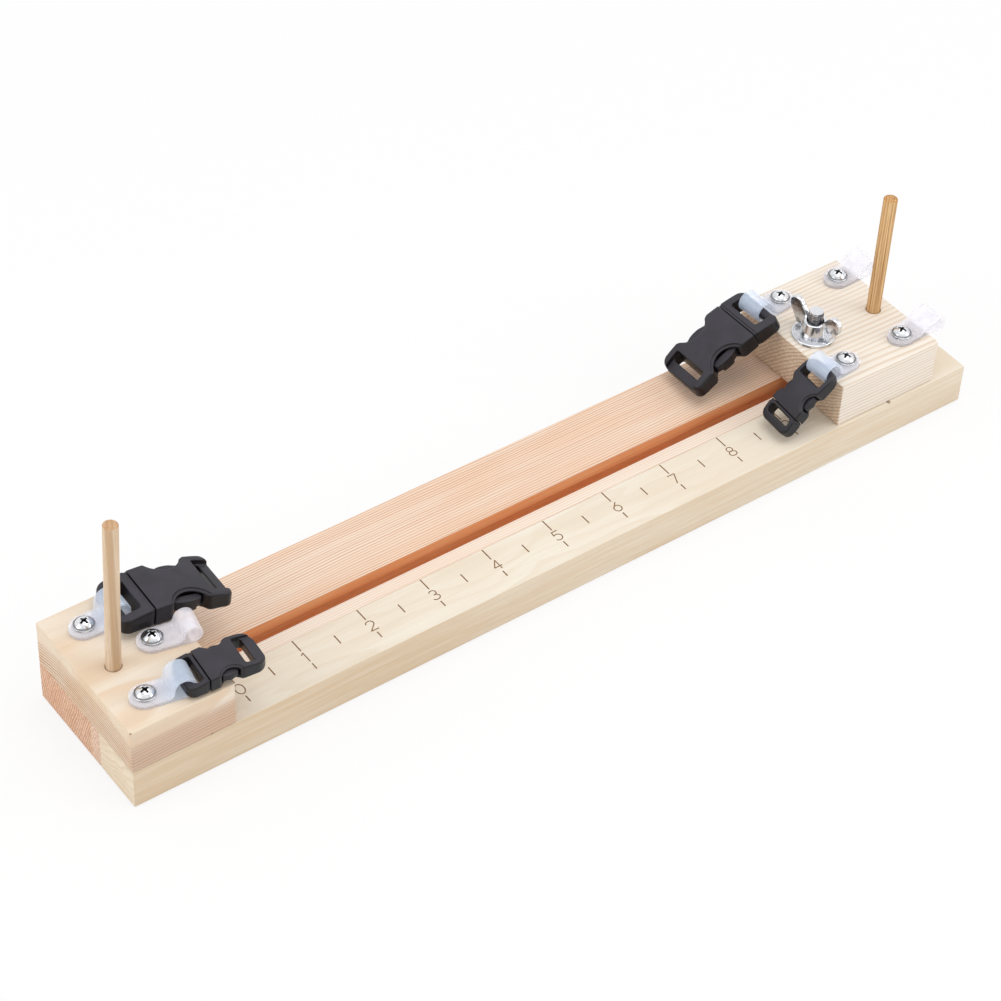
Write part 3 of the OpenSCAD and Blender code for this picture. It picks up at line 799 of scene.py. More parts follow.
# %% Build the blocks
BLOCK_TOP = 34.0
BLOCK_EASE = 0.5
SLIT = 0.12
TAB = 2.3
LEAN = math.radians(2.2)
LEFT_DOWEL = (-164.3, -1.2)
RIGHT_DOWEL = (152.2, -1.2)
DOWEL_SUNK, DOWEL_HOLE = 14, 2.8
BOLT_X, BOLT_HOLE = 124.9, 3.3
CLIP_SCREW_REACH, CLIP_SCREW_HOLE = 12.5, 1.55
WOOD_SCREW_TOP = 29.4
ABOVE = BLOCK_TOP + 2
LEFT_SCREWS = {"rear": (-163.8, 17.4, -1.5), "middle": (-149.0, 0.5, -12.0),
               "front": (-163.4, -18.8, -11.0)}
RIGHT_SCREWS = {"inner_rear": (126.2, 20.4, 185.0), "inner_front": (123.7, -18.7, 183.0),
                "outer_rear": (151.8, 18.4, 2.0), "outer_front": (149.7, -18.9, 4.0)}


def leaning(x, y, up):
    """A point that far up the left dowel's axis from the top of its block."""
    return (x + up * math.sin(LEAN), y, BLOCK_TOP + up * math.cos(LEAN))


def clip_screw_holes(mesh, screws):
    for x, y, _ in screws.values():
        low, high = (x, y, BLOCK_TOP + TAB - CLIP_SCREW_REACH), (x, y, ABOVE)
        rod(mesh, low, high, CLIP_SCREW_HOLE, sides=24)


def fixed_cuts(mesh):
    rod(mesh, leaning(*LEFT_DOWEL, -DOWEL_SUNK), leaning(*LEFT_DOWEL, 3), DOWEL_HOLE)
    clip_screw_holes(mesh, LEFT_SCREWS)
    wood_screw_holes(mesh, WOOD_SCREW_TOP)


def sliding_cuts(mesh):
    rod(mesh, (*RIGHT_DOWEL, BLOCK_TOP - DOWEL_SUNK), (*RIGHT_DOWEL, ABOVE), DOWEL_HOLE)
    clip_screw_holes(mesh, RIGHT_SCREWS)
    rod(mesh, (BOLT_X, 0, TOP - BEYOND), (BOLT_X, 0, ABOVE), BOLT_HOLE)


def block(name, low, high, add_cuts):
    """A block between two corners of its plan, with its holes."""
    made = eased_board(name, (*low, TOP + SLIT), (*high, BLOCK_TOP), BLOCK_EASE)
    cut(made, holes("block_holes", add_cuts))
    return sharpen(made)


fixed = block("fixed_block_wood", (-175, -29), (-136.9, 29), fixed_cuts)
finish_piece(fixed, "base", "block_wood", fixed_wood, "fixed_block")
sliding = block("sliding_block_wood", (114.9, -28), (159.8, 28), sliding_cuts)
finish_piece(sliding, "sliding_block", "block_wood", sliding_wood, "sliding_block")
print("blocks:", len(fixed.data.polygons), len(sliding.data.polygons))


# %% [markdown]
# ## The dowels
# Plain round sticks with a slightly broken edge at the top. The left one leans.

# %% Build the dowels
LEFT_STANDS, RIGHT_STANDS = 60, 50


def dowel(name, low, high, radius=2.55, chamfer=0.25):
    """A round stick between two points. Its rims are the edges of its round ends."""
    mesh = bmesh.new()
    rod(mesh, low, high, radius, sides=64)
    rims = [e for e in mesh.edges if len({len(f.verts) > 4 for f in e.link_faces}) == 2]
    bmesh.ops.bevel(mesh, geom=rims, offset=chamfer, segments=2, profile=0.5, affect="EDGES")
    return sharpen(object_from(mesh, name))


left_dowel = dowel("left_dowel_stick", leaning(*LEFT_DOWEL, -DOWEL_SUNK),
                   leaning(*LEFT_DOWEL, LEFT_STANDS))
finish_piece(left_dowel, "left_dowel", "left_dowel_wood", left_dowel_wood, "left_dowel")
right_dowel = dowel("right_dowel_stick", (*RIGHT_DOWEL, BLOCK_TOP - DOWEL_SUNK),
                    (*RIGHT_DOWEL, BLOCK_TOP + RIGHT_STANDS))
finish_piece(right_dowel, "right_dowel", "right_dowel_wood", right_dowel_wood, "right_dowel")
print("dowels are made")

# %% [markdown]
# ## Moulded shapes from distances
# A moulded part has soft edges everywhere, which are hard to get with bevels. So it is
# written as a distance: a function that is below 0 inside the part and above 0 outside.
# A cut is the larger of two distances, and a version of it with a radius rounds the
# edge where they meet. The surface is then drawn where the distance is 0, on a fine
# grid, and each point is pulled onto the surface exactly.


# %% Distances and the grid that draws them
def meet(a, b, radius=0.0):
    """What is inside both shapes, with the edge between them rounded."""
    if not radius:
        return np.maximum(a, b)
    corner = np.hypot(np.maximum(a + radius, 0), np.maximum(b + radius, 0))
    return np.minimum(np.maximum(a, b), -radius) + corner


def join(a, b, radius=0.0):
    """What is inside either shape, with the corner between them filled."""
    return -meet(-a, -b, radius)


def less(a, b, radius=0.0):
    """Shape a with shape b taken out."""
    return meet(a, -b, radius)


def rectangle(x, y, x0, x1, half, radius=0.0):
    """A rectangle from x0 to x1, and half wide on each side of y = 0."""
    dx = np.abs(x - (x0 + x1) / 2) - (x1 - x0) / 2 + radius
    dy = np.abs(y) - half + radius
    outside = np.hypot(np.maximum(dx, 0), np.maximum(dy, 0))
    return outside + np.minimum(np.maximum(dx, dy), 0) - radius


def grid_surface(shape, low, high, cell):
    """The points and faces of the surface where shape is 0. One point per grid cell
    that the surface crosses, in the middle of its crossings."""
    axes = [np.arange(a - 1.5 * cell, b + 2.5 * cell, cell) for a, b in zip(low, high)]
    field = shape(*np.meshgrid(*axes, indexing="ij"))
    size = np.array(field.shape) - 1
    count, total = np.zeros(size), np.zeros((*size, 3))
    edges = []
    for axis in range(3):
        first, second = (axis + 1) % 3, (axis + 2) % 3
        length = field.shape[axis]
        a = field.take(range(length - 1), axis)
        b = field.take(range(1, length), axis)
        crossed = (a < 0) != (b < 0)
        share = np.where(crossed, a / np.where(crossed, a - b, 1), 0)
        edges.append((crossed, a < 0))
        for i in (0, 1):
            for j in (0, 1):
                pick = [slice(None)] * 3
                pick[first] = slice(i, size[first] + i)
                pick[second] = slice(j, size[second] + j)
                here = crossed[tuple(pick)]
                count += here
                total[..., axis] += share[tuple(pick)]
                total[..., first] += here * i
                total[..., second] += here * j
    used = count > 0
    number = np.full(size, -1)
    number[used] = np.arange(used.sum())
    start = np.array([x[0] for x in axes])
    points = start + (np.argwhere(used) + total[used] / count[used][:, None]) * cell
    faces = []
    for axis in range(3):
        first, second = (axis + 1) % 3, (axis + 2) % 3
        crossed, inside = edges[axis]
        at = np.argwhere(crossed)
        keep = (at[:, first] > 0) & (at[:, second] > 0)
        keep &= (at[:, first] < size[first]) & (at[:, second] < size[second])
        at = at[keep]
        outward = inside[tuple(at.T)]
        ring = []
        for i, j in ((1, 1), (0, 1), (0, 0), (1, 0)):
            cellplace = at.copy()
            cellplace[:, first] -= i
            cellplace[:, second] -= j
            ring.append(number[tuple(cellplace.T)])
        quads = np.stack(ring, 1)
        quads[~outward] = quads[~outward][:, ::-1]
        faces.append(quads)
    faces = np.concatenate(faces)
    return pulled(shape, points, cell / 2), faces


def pulled(shape, points, farthest, step=0.02):
    """Moves points onto the surface, down the slope of the distance, in three rounds."""
    for _ in range(3):
        slope = np.stack([shape(*(points + nudge).T) - shape(*(points - nudge).T)
                          for nudge in step * np.eye(3)], 1) / (2 * step)
        move = shape(*points.T) / np.maximum((slope ** 2).sum(1), 0.1)
        points -= np.clip(move, -farthest, farthest)[:, None] * slope
    return points


def ball_shape(x, y, z):
    return np.hypot(np.hypot(x, y), z) - 2


ball, _ = grid_surface(ball_shape, (-2, -2, -2), (2, 2, 2), 0.5)
print("test ball of 2 mm, farthest point from its surface:", np.abs(ball_shape(*ball.T)).max())


# %% [markdown]
# ## The side release buckles
# A buckle has two mouldings. The housing is an arched sleeve with a thumb scoop on each
# side, open so that the arms show, and a loop for the strap at its far end. The insert
# is a frame with its own loop, whose arms spring out in the scoops. In the buckle's own
# frame u runs from the insert's end along the buckle, v across it and w upwards.
# A slot is (from, to) along u, a scoop (u, v, radius), a hinge (u, v), and a bulge is
# (u, radius, v of its outermost point). Widths called half are from the middle.

# %% Sizes of the two buckles
LARGE = dict(
    length=39.75, half=10.95, thick=7.6, end_thick=5.6, arch=3.3, seam=11.2, sleeve=18.3,
    near_slot=(3.7, 7.9), far_slot=(33.2, 36.0), slot_half=(7.4, 7.8), near_corner=3.4,
    far_corner=2.9, scoop=(24.2, 13.0, 6.6), hinge=(12.6, 7.6), leaf=1.0, tip=28.7,
    bulge=(24.0, 12.0, 9.9), bar=1.95, top_round=1.3, under_round=1.1, corner=1.3,
    pocket=2.0, ledge=0.9, wall=1.5, pad_drop=2.2, travel=2.1, cell=0.24,
)
SMALL = dict(
    length=27.95, half=7.3, thick=5.9, end_thick=4.3, arch=1.75, seam=7.35, sleeve=11.4,
    near_slot=(2.9, 6.0), far_slot=(20.6, 24.0), slot_half=(5.6, 5.4), near_corner=2.9,
    far_corner=4.2, scoop=(14.8, 9.1, 4.0), hinge=(9.2, 4.6), leaf=0.8, tip=17.5,
    bulge=(14.6, 8.0, 6.9), bar=0, top_round=0.9, under_round=0.8, corner=0.9,
    pocket=1.0, ledge=0.6, wall=1.3, pad_drop=1.7, travel=1.2, cell=0.19,
)
GAP = 0.3
CRISP, SOFT = 0.2, 0.3


def arcs(b):
    """The big circles of the arched top and of the hollow underside."""
    chord = b["length"] / 2
    rise = b["end_thick"] + b["arch"] - b["thick"]
    top = (chord ** 2 + b["arch"] ** 2) / (2 * b["arch"])
    under = (chord ** 2 + rise ** 2) / (2 * rise)
    return top, under


def top_side(b, u, w, sink=0.0):
    """Distance above the arched top, or above a surface that far below it."""
    radius, _ = arcs(b)
    return np.hypot(u - b["length"] / 2, w - b["arch"] + radius) - radius + sink


def under_side(b, u, w, lift=0.0):
    """Distance below the underside, or below a surface that far above it."""
    _, radius = arcs(b)
    return radius + lift - np.hypot(u - b["length"] / 2, w - b["arch"] + b["thick"] + radius)


def height_at(b, u, side):
    """The height of the top (side 0) or the underside (side 1) at a place along u."""
    radius = arcs(b)[side]
    drop = b["arch"] - radius - side * b["thick"]
    return drop + math.sqrt(radius ** 2 - (u - b["length"] / 2) ** 2)


def slab(b, u, w, inset):
    """What lies that far inside both the top and the underside."""
    return meet(top_side(b, u, w, inset), under_side(b, u, w, inset), SOFT)


def moulded(b, u, w, plan, soften=1.0):
    """The plan, given the buckle's top and underside with rounded edges."""
    upper = meet(plan, top_side(b, u, w), b["top_round"] * soften)
    return meet(upper, under_side(b, u, w), b["under_round"])


print("radius of the arched tops in mm:", [round(arcs(b)[0], 1) for b in (LARGE, SMALL)])


# %% [markdown]
# The housing's plan is a rounded plate with a round scoop out of each side. A step runs
# round the scoop, and the far bar is lower than the plate, so that the strap lies flush.


# %% The housing as a distance
def scoop(b, u, v, grow=0.0):
    """Distance from the two round thumb scoops, made larger by that much."""
    return np.hypot(u - b["scoop"][0], np.abs(v) - b["scoop"][1]) - b["scoop"][2] - grow


def housing_shape(b):
    """The sleeve: its outside, its scoops and their step, then all that is taken out."""
    sleeve_half = b["hinge"][1] + b["leaf"] + GAP
    start = b["seam"] + GAP / 2

    def shape(u, v, w):
        plan = rectangle(u, v, start - 9, b["length"], b["half"], b["far_corner"])
        plan = less(plan, scoop(b, u, v), b["corner"])
        body = meet(moulded(b, u, w, plan), start - u, CRISP)
        step = meet(scoop(b, u, v, b["ledge"]), -top_side(b, u, w, b["ledge"] * 0.8), CRISP)
        body = less(body, step, SOFT)
        hollow_plan = join(
            rectangle(u, v, start - 2, b["sleeve"] + 0.1, sleeve_half),
            rectangle(u, v, b["sleeve"], b["tip"] + 0.5, 2 * b["half"]))
        body = less(body, meet(hollow_plan, slab(b, u, w, b["wall"])), 0.25)
        body = less(body, rectangle(u, v, *b["far_slot"], b["slot_half"][1], 0.9), 0.35)
        sunk = rectangle(u, v, b["far_slot"][0], b["length"] + 3, b["slot_half"][1] + 0.2, 0.6)
        return less(body, meet(sunk, -top_side(b, u, w, b["pocket"]), SOFT), SOFT)
    return shape


print("width left between the scoops in mm:",
      [round(2 * (b["scoop"][1] - b["scoop"][2]), 1) for b in (LARGE, SMALL)])


# %% [markdown]
# The insert is the frame round the near loop, with a step at the seam and a tongue that
# runs into the sleeve. The large one's bar is round, because the nylon wraps it. Each
# arm is a thin leaf with a pad that fills the scoop.


# %% The insert and its arms as distances
def insert_shape(b):
    """The frame with its step at the seam, its tongue, its slot and its bar."""
    edge, middle = b["seam"] - GAP / 2, b["near_slot"][0] / 2
    level = (height_at(b, middle, 0) + height_at(b, middle, 1)) / 2

    def shape(u, v, w):
        plan = rectangle(u, v, 0, b["length"], b["half"], b["near_corner"])
        outer = moulded(b, u, w, plan, 0.9)
        body = join(meet(outer, u - edge + 1.0, CRISP), meet(outer + 0.3, u - edge, 0.1))
        tongue = meet(
            join(rectangle(u, v, edge - 1, b["hinge"][0], b["hinge"][1] + b["leaf"]),
                 rectangle(u, v, edge - 1, b["scoop"][0], b["half"] / 6)),
            slab(b, u, w, b["wall"] + GAP), SOFT)
        root = np.hypot(u - b["hinge"][0], np.abs(v) - b["hinge"][1]) - b["leaf"] - 0.6
        body = join(body, less(tongue, root), 0.1)
        body = less(body, rectangle(u, v, *b["near_slot"], b["slot_half"][0], 1.1), 0.45)
        if not b["bar"]:
            return body
        beside = rectangle(u, v, -3, b["near_slot"][0] + 0.4, b["slot_half"][0], SOFT)
        outside_bar = b["bar"] - np.hypot(u - middle, w - level)
        return less(body, meet(beside, outside_bar), SOFT)
    return shape


def arm_shape(b):
    """The arm on the side where v is above 0."""
    def shape(u, v, w):
        away = v - b["hinge"][1]
        leaf = rectangle(u, away, b["hinge"][0], b["tip"], b["leaf"], SOFT)
        root = np.hypot(u - b["hinge"][0], away) - b["leaf"] - 0.1
        circle = np.hypot(u - b["bulge"][0], v - b["bulge"][2] + b["bulge"][1]) - b["bulge"][1]
        start = b["sleeve"] + GAP + 0.1
        pad = meet(meet(circle, start - u, 0.5), meet(u - b["tip"], -away - 0.3, CRISP), 0.4)
        plan = join(join(leaf, root, CRISP), pad, 0.4)
        body = meet(plan, slab(b, u, w, b["wall"] + GAP), 0.5)
        body = meet(body, top_side(b, u, w, b["pad_drop"]), 0.4)
        free = np.hypot(u - b["scoop"][0], v - b["scoop"][1] - b["travel"]) - b["scoop"][2]
        proud = meet(meet(circle, free + 0.35, 0.4), u - b["tip"], 0.4)
        tall = meet(top_side(b, u, w, b["pad_drop"]), under_side(b, u, w, 0.8))
        return join(body, meet(proud, tall, 0.45), SOFT)
    return shape


print("length of the arms in mm:", [round(b["tip"] - b["hinge"][0], 1) for b in (LARGE, SMALL)])


# %% [markdown]
# Each buckle is held by a clip at one end. Its own frame is turned by roll, pitch and
# yaw, and its bar is put in the middle of the clip's loop. The far arm is the near arm
# mirrored, so its faces are turned round. The arm with v above 0 is the rear one where
# side is 1 and the front one where the buckle is turned round.

# %% Place the buckles
HELD = {
    "left_large": dict(buckle=LARGE, loop=(-153.9, 15.26, 38.92), turn=(-3.5, 7.9, -4.2),
                       bar=(1.8, 0.9, -2.38), side=1),
    "left_small": dict(buckle=SMALL, loop=(-150.68, -20.52, 37.16),
                       turn=(0.8, -0.35, -5.14), bar=(1.45, -0.4, -1.99), side=1),
    "right_large": dict(buckle=LARGE, loop=(113.59, 19.3, 38.12),
                        turn=(5.75, 26.06, 179.26), bar=(1.8, 2.3, -2.38), side=-1),
    "right_small": dict(buckle=SMALL, loop=(112.53, -19.29, 36.97),
                        turn=(-2.5, -42.64, -4.25), bar=(26.3, -0.3, -1.87), side=1),
}


def buckle_mesh(b):
    """The housing, the insert and one arm of a buckle, each as points and faces."""
    low, high = (0, -b["half"] - 1, -b["thick"]), (b["length"], b["half"] + 1, b["arch"] + 0.5)
    arm_low = (b["hinge"][0] - 3, 0, -b["thick"])
    return {
        "housing": grid_surface(housing_shape(b), low, high, b["cell"]),
        "insert": grid_surface(insert_shape(b), low, high, b["cell"]),
        "arm": grid_surface(arm_shape(b), arm_low, high, b["cell"]),
    }


def placed_in_clip(points, held, mirror=False):
    """Points of a buckle's own frame, or of its mirror image, in the jig's frame."""
    bar_u, shift, bar_w = held["bar"]
    points = points * (1, -1 if mirror else 1, 1)
    points = points + (-bar_u, shift, -bar_w)
    spin = np.array(Euler([math.radians(a) for a in held["turn"]]).to_matrix())
    return points @ spin.T + held["loop"]


def moulding(name, body, points, faces):
    made = mesh_object(name + "_moulding", points, faces.tolist())
    finish_piece(made, body, "black_plastic", black_plastic, name)


for b, label in ((LARGE, "large"), (SMALL, "small")):
    meshes = buckle_mesh(b)
    for name, held in HELD.items():
        if held["buckle"] is not b:
            continue
        for part in ("housing", "insert"):
            points, faces = meshes[part]
            moulding(f"{name}_{part}", name, placed_in_clip(points, held), faces)
        points, faces = meshes["arm"]
        for side in (1, -1):
            arm = f"{name}_{'rear' if side * held['side'] > 0 else 'front'}_arm"
            outward = faces if side > 0 else faces[:, ::-1]
            moulding(arm, arm, placed_in_clip(points, held, side < 0), outward)
    print(label, "buckle faces:", {k: len(m[1]) for k, m in meshes.items()})

# %% [markdown]
# ## The nylon clips
# A clip is one flat strip. It starts under the screw, runs along the wood, turns round
# in a loop and comes back on top of itself under the same screw. Its line is made as in
# the CAD, from straights, a loop and a bend, with sizes closer to the photograph's. A
# flat section with rounded corners is swept along it. At both ends the strip is cut
# round, so the section narrows there.

# %% Build a strip along its line
STRIP_WIDTH = 9.6
STRIP = 1.1
LAYER_GAP = 0.1
TAB_END = 5.2
STRIP_STEP = 0.35


def bend(centre, radius, start, end, steps):
    """Points on a circle between two angles in degrees."""
    angles = np.radians(np.linspace(start, end, steps + 1))
    return [(centre[0] + radius * math.cos(a), centre[1] + radius * math.sin(a))
            for a in angles]


def strip_line(reach, loop_z, loop_r, flat, bend_r, rise_x):
    """The strip's middle line: along the wood, round the loop and back onto the tab."""
    radius = loop_r - STRIP / 2
    low = np.array([flat, STRIP / 2])
    high_z = 1.5 * STRIP + LAYER_GAP
    rise = np.array([rise_x, high_z + bend_r])
    loop = np.array([reach, loop_z])
    to_loop, fall = loop - low, loop - rise
    sag = math.degrees(math.asin(radius / np.hypot(*to_loop)) - math.atan2(*to_loop[::-1]))
    slope = math.degrees(
        math.atan2(*fall[::-1]) + math.asin((radius + bend_r) / np.hypot(*fall)))
    line = [(-TAB_END, low[1]), (flat, low[1])]
    line += bend(loop, radius, -90 - sag, 90 + slope, 28)
    line += bend(rise, bend_r, 270 + slope, 270, 10)
    line += [(-TAB_END, high_z)]
    return np.array(line)


def even(line, step):
    """The same line with points about one step apart."""
    gaps = np.hypot(*np.diff(line, axis=0).T)
    along = np.concatenate([[0], np.cumsum(gaps)])
    places = np.linspace(0, along[-1], max(int(along[-1] / step), 8))
    return np.stack([np.interp(places, along, line[:, i]) for i in range(2)], 1)


def section(half, thick, corner=0.3, steps=4):
    """A flat closed ring, half wide each side, with rounded corners."""
    corner = min(corner, half * 0.9, thick / 2)
    ring = []
    for cx, cz, start in ((half, thick / 2, 0), (-half, thick / 2, 90),
                          (-half, -thick / 2, 180), (half, -thick / 2, 270)):
        middle = (cx - math.copysign(corner, cx), cz - math.copysign(corner, cz))
        ring += bend(middle, corner, start, start + 90, steps)
    return np.array(ring)


def tab_half(x):
    """Half width of the strip: round about the screw at both ends."""
    if x > 0:
        return STRIP_WIDTH / 2
    return STRIP_WIDTH / 2 * math.sqrt(max(1 - (x / TAB_END) ** 2, 0.01))


def strip_mesh(name, line, place, yaw):
    """Sweeps the section along the line, then puts it at its place and yaw."""
    line = even(line, STRIP_STEP)
    ahead = np.gradient(line, axis=0)
    ahead /= np.hypot(*ahead.T)[:, None]
    rings = [[(x - dz * h, y, z + dx * h) for y, h in section(tab_half(x), STRIP)]
             for (x, z), (dx, dz) in zip(line, ahead)]
    size = len(rings[0])
    last = (len(rings) - 1) * size
    faces = []
    for a in range(0, last, size):
        for j in range(size):
            k = (j + 1) % size
            faces.append((a + j, a + size + j, a + size + k, a + k))
    faces.append(tuple(range(size)))
    faces.append(tuple(range(last + size - 1, last - 1, -1)))
    turn = np.array(Matrix.Rotation(math.radians(yaw), 3, "Z"))
    return mesh_object(name, np.concatenate(rings) @ turn.T + (*place, BLOCK_TOP), faces)


def store(obj, name, rule):
    """Gives each point a number from 0 to 1. The rule takes x, y and z in mm."""
    points = np.zeros(3 * len(obj.data.vertices))
    obj.data.vertices.foreach_get("co", points)
    values = np.clip(rule(*(points.reshape(-1, 3) / MM).T), 0, 1)
    layer = obj.data.attributes.new(name, "FLOAT", "POINT")
    layer.data.foreach_set("value", values.astype(np.float32))


print("points round the strip's section:", len(section(STRIP_WIDTH / 2, STRIP)))


# %% [markdown]
# The seven clips differ in their reach, the height and size of the loop, the length that
# lies flat, and the radius and place of the bend that comes back. Each strip carries
# painted light: a blue tint that grows towards the loop where a buckle's black bar lies
# behind it, and a painted glow. The three that are empty lie over wood and get little of
# the tint, and the two outer ones get less of the glow.

# %% Build the clips
OVER_BLACK = {"left_middle": 0.1, "right_outer_rear": 0.1, "right_outer_front": 0.1}
FADE = 7.0
PAINTED_GLOW_SHARE = {"right_outer_rear": 0.6, "right_outer_front": 0.6}
CLIPS = {
    "left_rear": (LEFT_SCREWS["rear"], (10.3, 5.45, 4.3, 5.0, 1.0, 5.3), "base"),
    "left_middle": (LEFT_SCREWS["middle"], (11.9, 3.5, 3.5, 6.0, 2.0, 6.9), "base"),
    "left_front": (LEFT_SCREWS["front"], (11.6, 4.2, 4.2, 6.0, 1.6, 6.2), "base"),
    "right_inner_rear": (RIGHT_SCREWS["inner_rear"], (12.75, 5.05, 4.0, 6.0, 2.5, 4.6),
                         "sliding_block"),
    "right_inner_front": (RIGHT_SCREWS["inner_front"], (11.0, 4.3, 4.1, 8.0, 2.0, 4.6),
                          "sliding_block"),
    "right_outer_rear": (RIGHT_SCREWS["outer_rear"], (11.9, 3.5, 3.5, 6.0, 2.5, 4.2),
                         "sliding_block"),
    "right_outer_front": (RIGHT_SCREWS["outer_front"], (14.4, 2.0, 3.3, 10.3, 3.0, 4.2),
                          "sliding_block"),
}
for name, ((x, y, yaw), sizes, body) in CLIPS.items():
    strip = strip_mesh(name + "_strip", strip_line(*sizes), (x, y), yaw)
    # Painted light: how strong the painted glow is on this strip.
    store(strip, "painted_glow_share", lambda px, py, pz: np.full_like(px, PAINTED_GLOW_SHARE.get(name, 1)))
    # Painted light: a blue tint that grows from the screw towards the loop.
    store(strip, "over_black", lambda px, py, pz: OVER_BLACK.get(name, 1) * np.clip(
        (np.hypot(px - x, py - y) - sizes[0] * 0.3) / FADE, 0, 1))
    sharpen(strip, 50)
    finish_piece(strip, body, "nylon", milky_nylon, name + "_clip")
print("clips:", len(CLIPS), "with", len(strip.data.polygons), "faces each")


# %% [markdown]
# ## The screws
# Seven pan head screws with a flange and a cross recess hold the clips. One screw is
# made: its head from distances, so that the plated edges are soft, and its thread by a
# tree that sweeps a small triangle along a spiral. Another tree then puts a copy on each
# point and turns it.

# %% One screw head
HEAD_D, HEAD_H, FLANGE = 7.4, 2.4, 0.55
DOME_R, DOME_H = 0.43 * HEAD_D, HEAD_H - FLANGE
BALL = (DOME_R ** 2 + DOME_H ** 2) / (2 * DOME_H)
CROSS_HALF, CROSS_REACH, CROSS_DEPTH = 0.42, 1.9, 1.75


def head_shape(x, y, z):
    """A flange, a dome that is part of a ball, and a tapered cross cut into it."""
    r = np.hypot(x, y)
    flange = meet(meet(r - HEAD_D / 2, z - FLANGE, 0.2), -z)
    dome = meet(np.hypot(r, z - HEAD_H + BALL) - BALL, r - DOME_R - 0.3)
    head = join(flange, meet(dome, -z), 0.18)
    taper = np.maximum(0.0, (HEAD_H - z)) * 0.35
    arm = [meet(np.abs(a) - CROSS_HALF + taper * 0.15, np.abs(b) - CROSS_REACH + taper * 1.6)
           for a, b in ((x, y), (y, x))]
    centre = (np.abs(x) + np.abs(y)) / 1.414 - 0.75 + taper * 0.4
    cross = meet(join(join(arm[0], arm[1], 0.1), centre, 0.1), HEAD_H - CROSS_DEPTH - z)
    return less(head, cross, 0.14)


def head_recess_shade(x, y, z):
    """Painted shade: dark in the cross, where the dome meets the flange, and in the thread."""
    r = np.hypot(x, y)
    below = BALL - np.hypot(r, z - HEAD_H + BALL)
    in_cross = (below > 0.15) * (r < 2.4) * (z > 0) * np.clip(below * 1.2, 0.3, 0.9)
    foot = (np.abs(r - DOME_R - 0.1) < 0.3) * (z > 0.3) * 0.7
    thread = (z < -0.01) * np.clip((1.5 - r) / 0.25, 0, 1) * 0.8
    return np.maximum(np.maximum(in_cross, foot), thread)


points, faces = grid_surface(head_shape, (-3.8, -3.8, 0), (3.8, 3.8, 2.5), 0.13)
print("screw head faces:", len(faces))

# %% [markdown]
# A thread is a helix, and Geometry Nodes have one. The tree takes the radius, pitch and
# length, sweeps a triangle along the spiral, adds the core and joins them.


# %% A tree that makes a threaded rod
def thread_tree():
    """A core with a ridge along a spiral round it."""
    tree, given, leave = new_tree("threaded_rod", {
        "Radius": "Float", "Pitch": "Float", "Length": "Float", "Depth": "Float",
        "Material": "Material"})
    turns = given["Length"] / given["Pitch"] - 1
    inner = given["Radius"] - given["Depth"]
    spiral = node(tree, "GeometryNodeCurveSpiral", {
        "Resolution": 20, "Rotations": turns, "Start Radius": inner, "End Radius": inner,
        "Height": given["Length"] - given["Pitch"]})
    tilted = node(tree, "GeometryNodeSetCurveNormal", {0: spiral}, mode="Z_UP")
    ridge = node(tree, "GeometryNodeCurvePrimitiveCircle", {
        "Resolution": 3, "Radius": given["Depth"]})
    swept = node(tree, "GeometryNodeCurveToMesh", {
        "Curve": tilted, "Profile Curve": ridge, "Fill Caps": True})
    core = node(tree, "GeometryNodeMeshCylinder", {
        "Vertices": 32, "Radius": inner, "Depth": given["Length"]})
    middle = node(tree, "ShaderNodeCombineXYZ", {"Z": given["Length"] * 0.5})
    lifted = node(tree, "GeometryNodeTransform", {0: core, "Translation": middle})
    both = node(tree, "GeometryNodeJoinGeometry", {0: lifted})
    tree.links.new(swept.output, both.output.node.inputs[0])
    return close_tree(both, given["Material"], leave)


def at_points_tree():
    """A copy of an object on each point, turned about z by the point's own turn."""
    tree, given, leave = new_tree("copies_on_points", {
        "Points": "Geometry", "Copy": "Object", "Material": "Material"})
    turn = node(tree, "GeometryNodeInputNamedAttribute", {"Name": "turn"}, data_type="FLOAT")
    spin = node(tree, "ShaderNodeCombineXYZ", {"Z": turn})
    rotation = node(tree, "FunctionNodeEulerToRotation", {0: spin})
    copy = node(tree, "GeometryNodeObjectInfo", {"Object": given["Copy"], "As Instance": True},
                out=4)
    placed = node(tree, "GeometryNodeInstanceOnPoints", {
        "Points": given["Points"], "Instance": copy, "Rotation": rotation})
    return close_tree(placed, given["Material"], leave)


rod_tree, copies_tree = thread_tree(), at_points_tree()


def threaded(name, radius, pitch, length, depth, foot):
    """A threaded rod of those sizes that stands on its foot, all in millimetres."""
    made = run_tree(name, rod_tree, {
        "Radius": radius * MM, "Pitch": pitch * MM, "Length": length * MM,
        "Depth": depth * MM, "Material": bright_zinc})
    made.data.transform(Matrix.Translation([place * MM for place in foot]))
    return made


shank = threaded("shank", 1.5, 1.2, 12.0, 0.3, (0, 0, -12.0))
head = mesh_object("screw_head", points, faces.tolist())
screw = joined([head, shank], "one_screw", 0)
# Stores painted shade for the screw's recesses.
store(screw, "painted_recess_shade", head_recess_shade)
screw.data.shade_smooth()
print("one screw:", len(screw.data.polygons), "faces")

# %% [markdown]
# The second tree reads each point's own turn, so one call places a whole row of screws.
# The first screw is taken away once its copies are real.

# %% Put a screw on each clip
CROSS_TURN = 20


def copies(name, original, spots, z):
    """Copies of an object at (x, y, turn in degrees), all at one height."""
    base = mesh_object(name, [(x, y, z) for x, y, _ in spots], [])
    turns = base.data.attributes.new("turn", "FLOAT", "POINT")
    turns.data.foreach_set("value", [math.radians(t) for _, _, t in spots])
    return run_tree(name, copies_tree, {"Copy": original, "Material": bright_zinc}, base)


def clip_screws(name, screws):
    spots = [(x, y, yaw + CROSS_TURN) for x, y, yaw in screws.values()]
    return copies(name, screw, spots, BLOCK_TOP + TAB)


